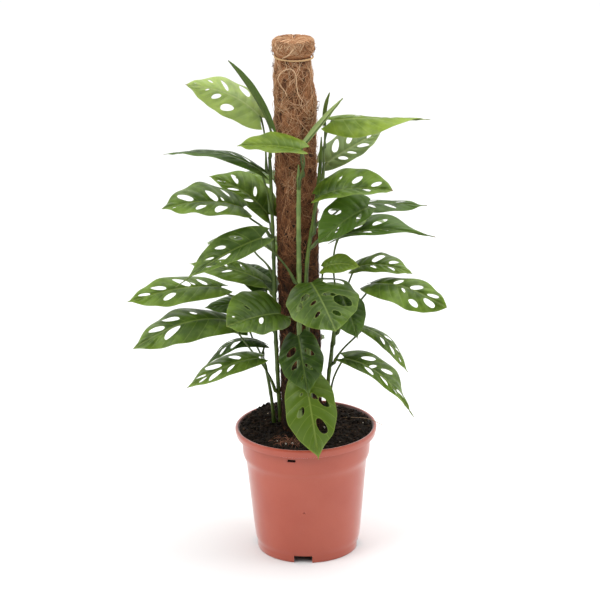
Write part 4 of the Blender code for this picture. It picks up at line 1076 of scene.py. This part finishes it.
class Blade:
    """A leaf's surface: place(along, across) runs from base to tip and from edge to edge."""

    def __init__(self, base, tip, halves, facing, arch, bow, fold, twist, point):
        """The numbers are those of a row of LEAVES, from its base on."""
        self.base = np.array(base, float)
        chord = np.array(tip, float) - self.base
        self.length = float(np.linalg.norm(chord))
        self.forward = chord / self.length
        turn, rise = (math.radians(angle) for angle in facing)
        wish = np.array([math.sin(turn) * math.cos(rise), -math.cos(turn) * math.cos(rise), math.sin(rise)])
        up = wish - self.forward * wish.dot(self.forward)
        self.up = up / np.linalg.norm(up)
        self.halves, self.point = halves, point
        self.rise = self.up * arch + np.cross(self.up, self.forward) * bow
        self.fold, self.twist = math.radians(fold), math.radians(twist)

    def midrib(self, share):
        """The midrib's places and directions at shares of the length."""
        share = np.atleast_1d(np.asarray(share, float))
        angle = np.pi * share ** ARCH_PEAK
        steepness = ARCH_PEAK * np.pi * np.maximum(share, MIDRIB_START) ** (ARCH_PEAK - 1.0)
        slope = np.cos(angle) * steepness / self.length
        places = self.base + np.outer(share * self.length, self.forward) + np.outer(np.sin(angle), self.rise)
        directions = self.forward + np.outer(slope, self.rise)
        return places, directions / np.linalg.norm(directions, axis=1)[:, None]

    def frame(self, share):
        """The midrib's places and directions, and the blade's up and side there."""
        start, direction = self.midrib(share)
        angle = self.twist * (np.atleast_1d(share) - TWIST_START)
        cos, sin = np.cos(angle)[:, None], np.sin(angle)[:, None]
        along = (direction @ self.up)[:, None]
        turned = self.up * cos + np.cross(direction, self.up) * sin + direction * along * (1.0 - cos)
        up = turned - direction * np.sum(direction * turned, axis=1)[:, None]
        up /= np.linalg.norm(up, axis=1)[:, None]
        return start, direction, up, np.cross(up, direction)

    def breadth(self, share):
        """A half's breadth as a part of its widest: blunt at the base, drawn out at the tip."""
        eased = BASE_START + (1.0 - BASE_START) * share
        return np.maximum(0.0, np.sin(np.pi * eased ** WIDEST)) ** (BLUNTNESS + self.point * share)

    def place(self, share, across, outline, lift):
        """Places on the blade, its edge drawn in or out by outline, with each lifted off the surface."""
        start, direction, up, side = self.frame(share)
        distance = np.abs(across)
        tilt = self.fold - math.radians(CURL) * distance
        half = np.where(across > 0, self.halves[0], self.halves[1])
        outward = half * self.breadth(share) * distance * outline
        reach = self.length * (SWEEP * np.sin(np.pi * share) - LOBE * (1.0 - share) ** 3)
        ahead = reach * distance ** SWEEP_CURVE
        sideways = np.sign(across) * outward * np.cos(tilt) - lift * np.sign(across) * np.sin(tilt)
        upward = outward * np.sin(tilt) + lift * np.cos(tilt)
        places = start + direction * ahead[:, None] + side * sideways[:, None] + up * upward[:, None]
        return places, outward


def usual_holes(rng):
    """Holes between the side veins of a leaf that no hole was measured on."""
    holes = []
    for side in (-1, 1):
        for along, size in ((0.19, 0.7), (0.35, 1.0), (0.52, 1.1), (0.68, 0.85)):
            if rng.random() < 0.9:
                holes.append((
                    along + rng.uniform(-0.015, 0.015) + 0.02 * side, side * rng.uniform(0.40, 0.5),
                    0.042 * size * rng.uniform(0.8, 1.15), 0.30 * size * rng.uniform(0.8, 1.1)))
    return holes


def hole_distance(along, across, hole):
    """1 on a hole's outline, less inside. Holes are egg shaped, narrower towards the edge of the blade."""
    middle, side, half_length, half_width = hole
    beyond = across * (1 if side > 0 else -1) - abs(side)
    ahead = along - middle - VEIN_SLANT * beyond
    out = beyond / half_width
    slender = HOLE_SLENDERNESS * half_length * (1.0 - 0.22 * np.clip(out, -1.2, 1.2))
    return np.hypot(ahead / slender, out)


def cut_holes(obj, holes):
    """Opens the holes in the flat blade and draws the vertices round them onto their outlines."""
    mesh = obj.data
    centres = read(mesh.polygons, "center", 3)
    inside = np.zeros(len(centres), bool)
    for hole in holes:
        inside |= hole_distance(centres[:, 0], centres[:, 1], hole) < 1.0
    if not inside.any():
        return
    edit(obj, faces=inside)
    bpy.ops.mesh.delete(type="FACE")
    leave_edit()
    ends = read(mesh.edges, "vertices", 2, int)
    open_edges = np.bincount(read(mesh.loops, "edge_index", kind=int), minlength=len(ends)) == 1
    points = points_of(mesh)
    margin = (np.abs(points[:, 1]) > 0.999) | (points[:, 0] < 0.0005) | (points[:, 0] > 0.9995)
    rim = np.zeros(len(points), bool)
    rim[ends[open_edges].ravel()] = True
    rim &= ~margin
    distances = np.array([hole_distance(points[:, 0], points[:, 1], hole) for hole in holes])
    nearest = np.argmin(np.abs(distances - 1.0), axis=0)
    for i in np.nonzero(rim)[0]:
        middle, side = holes[nearest[i]][:2]
        reach = max(0.3, distances[nearest[i], i])
        points[i, 0] = middle + (points[i, 0] - middle) / reach
        points[i, 1] = side + (points[i, 1] - side) / reach
    set_points(mesh, points)
    touching = np.zeros(len(points), bool)
    touching[ends[rim[ends].any(axis=1)].ravel()] = True
    edit(obj, verts=touching & ~rim & ~margin)
    bpy.ops.mesh.vertices_smooth(factor=0.5, repeat=2)
    leave_edit()


def make_blade(name, blade, holes, rng):
    """A flat grid is pierced, laid on the blade's surface and given its thickness."""
    deselect()
    bpy.ops.mesh.primitive_grid_add(
        x_subdivisions=LEAF_ROWS, y_subdivisions=LEAF_COLUMNS, size=2.0, location=(0.0, 0.0, 0.0))
    obj = bpy.context.object
    mesh = obj.data
    points = points_of(mesh)
    # The rows lie closer together near the base and the tip
    steps = (points[:, 0] + 1.0) / 2.0
    points[:, 0] = 0.7 * steps + 0.15 * (1.0 - np.cos(np.pi * steps))
    set_points(mesh, points)
    cut_holes(obj, holes)
    points = points_of(mesh)
    along, across = np.clip(points[:, 0], 0.0, 1.0), np.clip(points[:, 1], -1.0, 1.0)
    distance = np.abs(across)
    side = np.where(across > 0, 1.0, -1.0)
    half = np.where(across > 0, blade.halves[0], blade.halves[1]) * blade.breadth(along)
    # The edge waves up and down, and in and out a little. The flesh rises between the side veins.
    waves, wave_phase, wave_height = rng.uniform(2.2, 3.4), rng.uniform(0.0, 6.0), rng.uniform(0.8, 2.0)
    wavy = min(1.0, max(blade.halves) / WAVY_HALF)
    wave = np.sin(math.tau * waves * along + wave_phase + 1.7 * side)
    ripple = wave_height * wavy * distance ** 2.5 * wave
    vein = along - VEIN_SLANT * distance
    quilt = QUILT_RISE * wavy * np.abs(np.sin(np.pi * SIDE_VEINS * vein)) * np.clip(distance * 4.0, 0.0, 1.0)
    quilt *= 1.0 - distance ** 4
    calm_ends = np.clip((1.0 - along) * 6.0, 0.0, 1.0) * np.clip(along * 8.0 + 0.3, 0.0, 1.0)
    channel = -CHANNEL_DEPTH * np.exp(-(half * distance / CHANNEL_HALF) ** 2)
    outline = 1.0 + 0.02 * np.sin(math.tau * (SIDE_VEINS / 2) * along + wave_phase * side)
    places, outward = blade.place(along, across, outline, (ripple + quilt) * calm_ends + channel)
    set_points(mesh, places * MM)
    # The skin follows the veins through the blade's own map and numbers
    corners = read(mesh.loops, "vertex_index", kind=int)
    layer = mesh.uv_layers.active
    layer.name = "UVMap"
    layer.data.foreach_set("uv", np.stack([vein + 1.0, across / 2.0 + 0.5], axis=1)[corners].ravel())
    from_edge = half * (1.0 - distance)
    for hole in holes:
        size = min(hole[2] * blade.length, hole[3] * max(blade.halves))
        from_edge = np.minimum(from_edge, (hole_distance(along, across, hole) - 1.0) * size)
    lightness = LIGHTNESS.get(name, rng.uniform(-0.3, 0.3))
    set_number(mesh, "from_midrib", np.abs(outward))
    set_number(mesh, "from_edge", np.maximum(0.0, from_edge))
    at_tip = np.clip((along - 0.955) / 0.03, 0.0, 1.0)
    set_number(mesh, "dryness", DRY_TIPS.get(name, USUAL_DRY_TIP) * at_tip)
    set_number(mesh, "lightness", lightness + 0.8 * (distance - 0.5) + 0.5 * (along - 0.5))
    edit(obj)
    bpy.ops.mesh.remove_doubles(threshold=0.05 * MM)
    leave_edit()
    upper = len(mesh.vertices)
    apply_modifier(obj, "SOLIDIFY", thickness=BLADE_THICKNESS * MM, offset=-1.0)
    set_number(obj.data, "underside", np.arange(len(obj.data.vertices)) >= upper)
    return obj


def make_stalk(name, stem, height, blade):
    """The stalk clasps its stem with a sheath, bows up to the blade, and runs on under it as the midrib."""
    centre = place_on_stem(stem, height)
    base = Vector(blade.base)
    outward = base - centre
    outward.z = 0.0
    outward.normalize()
    start = centre + outward * (stem_radius(stem, height) + STALK_GAP)
    turn = start + outward * STALK_START
    direction = Vector(blade.midrib(0.0)[1][0])
    under = base - Vector(blade.up) * STALK_DROP
    bow = (under - turn).length * STALK_BOW
    climb = UP * STALK_RISE
    leave = turn + ((under - turn).normalized() + climb).normalized() * bow
    arrive = under - (direction / 2 + climb).normalized() * bow
    # The sheath begins inside the stem and wraps it on the side that the leaf leaves from
    path = [centre - UP * 5.0, centre + outward * 1.2 - UP * 2.5]
    radii = [stem_radius(stem, height) * 0.8, STALK_RADIUS * 2.0]
    for share in np.arange(STALK_STEPS + 1) / STALK_STEPS:
        left = 1.0 - share
        path.append(turn * left ** 3 + leave * 3 * share * left ** 2 + arrive * 3 * share ** 2 * left
                    + under * share ** 3)
        sheath = SHEATH_SWELL * math.exp(-(share / SHEATH_LENGTH) ** 2)
        knuckle = KNUCKLE_SWELL * math.exp(-(left / KNUCKLE_LENGTH) ** 2)
        radii.append(STALK_RADIUS + sheath + knuckle)
    shares = np.linspace(0.03, MIDRIB_END, STALK_STEPS + 1)
    places, _, ups, _ = blade.frame(shares)
    for share, place, up in zip(shares, places, ups):
        radius = STALK_RADIUS - MIDRIB_TAPER * share
        path.append(Vector(place - up * (MIDRIB_DEPTH + radius)))
        radii.append(radius)
    return tube(name, path, radii, STALK_SIDES)


def make_leaf(row, stem, skin, stalk_green):
    """One leaf: its blade and its stalk, which grew as one piece."""
    name, _, height, *form = row
    rng = random.Random(name)
    blade = Blade(*form)
    if name in WHOLE_LEAVES:
        holes = []
    else:
        holes = HOLES[name] if name in HOLES else usual_holes(rng)
    blade_part = make_blade(name, blade, holes, rng)
    blade_part.data.materials.append(skin)
    stalk_part = make_stalk(name + "_stalk", stem, height, blade)
    stalk_part.data.materials.append(stalk_green)
    leaf = join([blade_part, stalk_part])
    smooth(leaf, 50.0)
    finish_piece(leaf, "monstera_" + name, [], name)


# Light, floor and camera

def make_stage():
    """A plain pale floor, and soft light from three sides in a white studio."""
    deselect()
    # The floor lies just under the pot's foot
    bpy.ops.mesh.primitive_circle_add(
        vertices=64, radius=14.0, fill_type="NGON", location=(0.0, 0.0, -0.0002))
    floor = bpy.context.object
    floor.name = "studio_floor"
    # Painted board: nearly white and quite matt
    material, _, shader = new_material("matt_white_floor")
    shader.inputs["Base Color"].default_value = linear("#E6E6E6")
    shader.inputs["Roughness"].default_value = 0.9
    shader.inputs["Specular IOR Level"].default_value = 0.1
    floor.data.materials.append(material)
    world = bpy.data.worlds.new("white_studio")
    bpy.context.scene.world = world
    world.use_nodes = True
    background = world.node_tree.nodes["Background"]
    background.inputs["Color"].default_value = (1.0, 1.0, 1.0, 1.0)
    # White walls and ceiling, and a dimmer room behind the camera
    tree = world.node_tree
    facing = add_node(tree, "TexCoord", "Generated", {})
    walls = add_node(tree, "MapRange", "Result", {
        "Value": add_node(tree, "SeparateXYZ", "Y", {0: facing}), "From Min": -0.95, "From Max": -0.15,
        "To Min": 0.10, "To Max": 1.05}, interpolation_type="SMOOTHSTEP")
    ceiling = add_node(tree, "MapRange", "Result", {
        "Value": add_node(tree, "SeparateXYZ", "Z", {0: facing}), "From Min": 0.2, "From Max": 0.8,
        "To Max": 0.45}, interpolation_type="SMOOTHSTEP")
    brightness = add_node(tree, "Math", "Value", {0: walls, 1: ceiling}, operation="ADD")
    tree.links.new(brightness, background.inputs["Strength"])
    target = Vector((0.0, 0.0, 0.3))
    for name, place, size, power in (
            ("softbox_left", (-1.6, -1.1, 2.0), 1.2, 22.0),
            ("softbox_top", (0.5, 0.3, 2.6), 1.6, 22.0),
            ("softbox_right", (1.9, -0.3, 1.3), 1.0, 9.0)):
        light = bpy.data.lights.new(name, "AREA")
        light.shape = "SQUARE"
        light.size = size
        light.energy = power
        lamp = bpy.data.objects.new(name, light)
        lamp.location = place
        lamp.rotation_euler = (target - Vector(place)).to_track_quat("-Z", "Y").to_euler()
        bpy.context.scene.collection.objects.link(lamp)


def make_camera():
    """A long lens three metres away, a little above the plant, as in the photograph."""
    pitch, roll, distance = math.radians(18.64), math.radians(1.08), 3.0
    target = Vector((-0.0042, 0.0, 0.312))
    back = Vector((0.0, -math.cos(pitch), math.sin(pitch)))
    right = Vector((1.0, 0.0, 0.0))
    up = back.cross(right)
    across = right * math.cos(roll) - up * math.sin(roll)
    camera = bpy.data.cameras.new("photo_camera")
    camera.lens = 152.42
    camera.sensor_width = 36.0
    obj = bpy.data.objects.new("photo_camera", camera)
    turned = Matrix((across, back.cross(across), back)).transposed().to_4x4()
    obj.matrix_world = Matrix.Translation(target + back * distance) @ turned
    bpy.context.scene.collection.objects.link(obj)
    bpy.context.scene.camera = obj


make_camera()
make_stage()
make_pot()
make_soil()
make_pole()
make_tie()
wood = sawn_softwood()
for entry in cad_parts["pole_stake"].material_slots:
    entry.material = wood

# Stems are a dull green, and the one in front, which is younger, a fresher one. The stalks lie between them.
green_skin = stem_skin("green_stem_skin", "#5B7028", "#43581F", "#5C5230")
fresh_skin = stem_skin("fresh_stem_skin", "#7E9450", "#5F783A", "#6B6238")
stalk_skin = stem_skin("leaf_stalk_skin", "#57692C", "#435524", "#5C5232")
# Most leaves are a full green, the newest near the top are pale, the young ones are a yellower green, and
# the ones that hang in the shade are the darkest.
leaf_skins = {
    "leaf": leaf_skin("leaf_skin", "#2F450D", "#67812A", "#8A9C4E", "#6A7D42", 0.35),
    "leaf_pale": leaf_skin("pale_leaf_skin", "#6F8150", "#93A655", "#A9B675", "#8E9E66", 0.41),
    "leaf_young": leaf_skin("young_leaf_skin", "#4E6519", "#7D922C", "#97A850", "#839150", 0.37),
    "leaf_dark": leaf_skin("dark_leaf_skin", "#20350A", "#44601A", "#6D833C", "#566B34", 0.35),
}
for stem in STEMS:
    make_stem(stem, fresh_skin if stem[0] == "stem_front" else green_skin)
stems = {stem[0]: stem for stem in STEMS}
for row in LEAVES:
    slot = next((slot for slot, leaves in SHADES.items() if row[0] in leaves), "leaf")
    make_leaf(row, stems[row[1]], leaf_skins[slot], stalk_skin)

bpy.context.scene.view_settings.view_transform = "Standard"
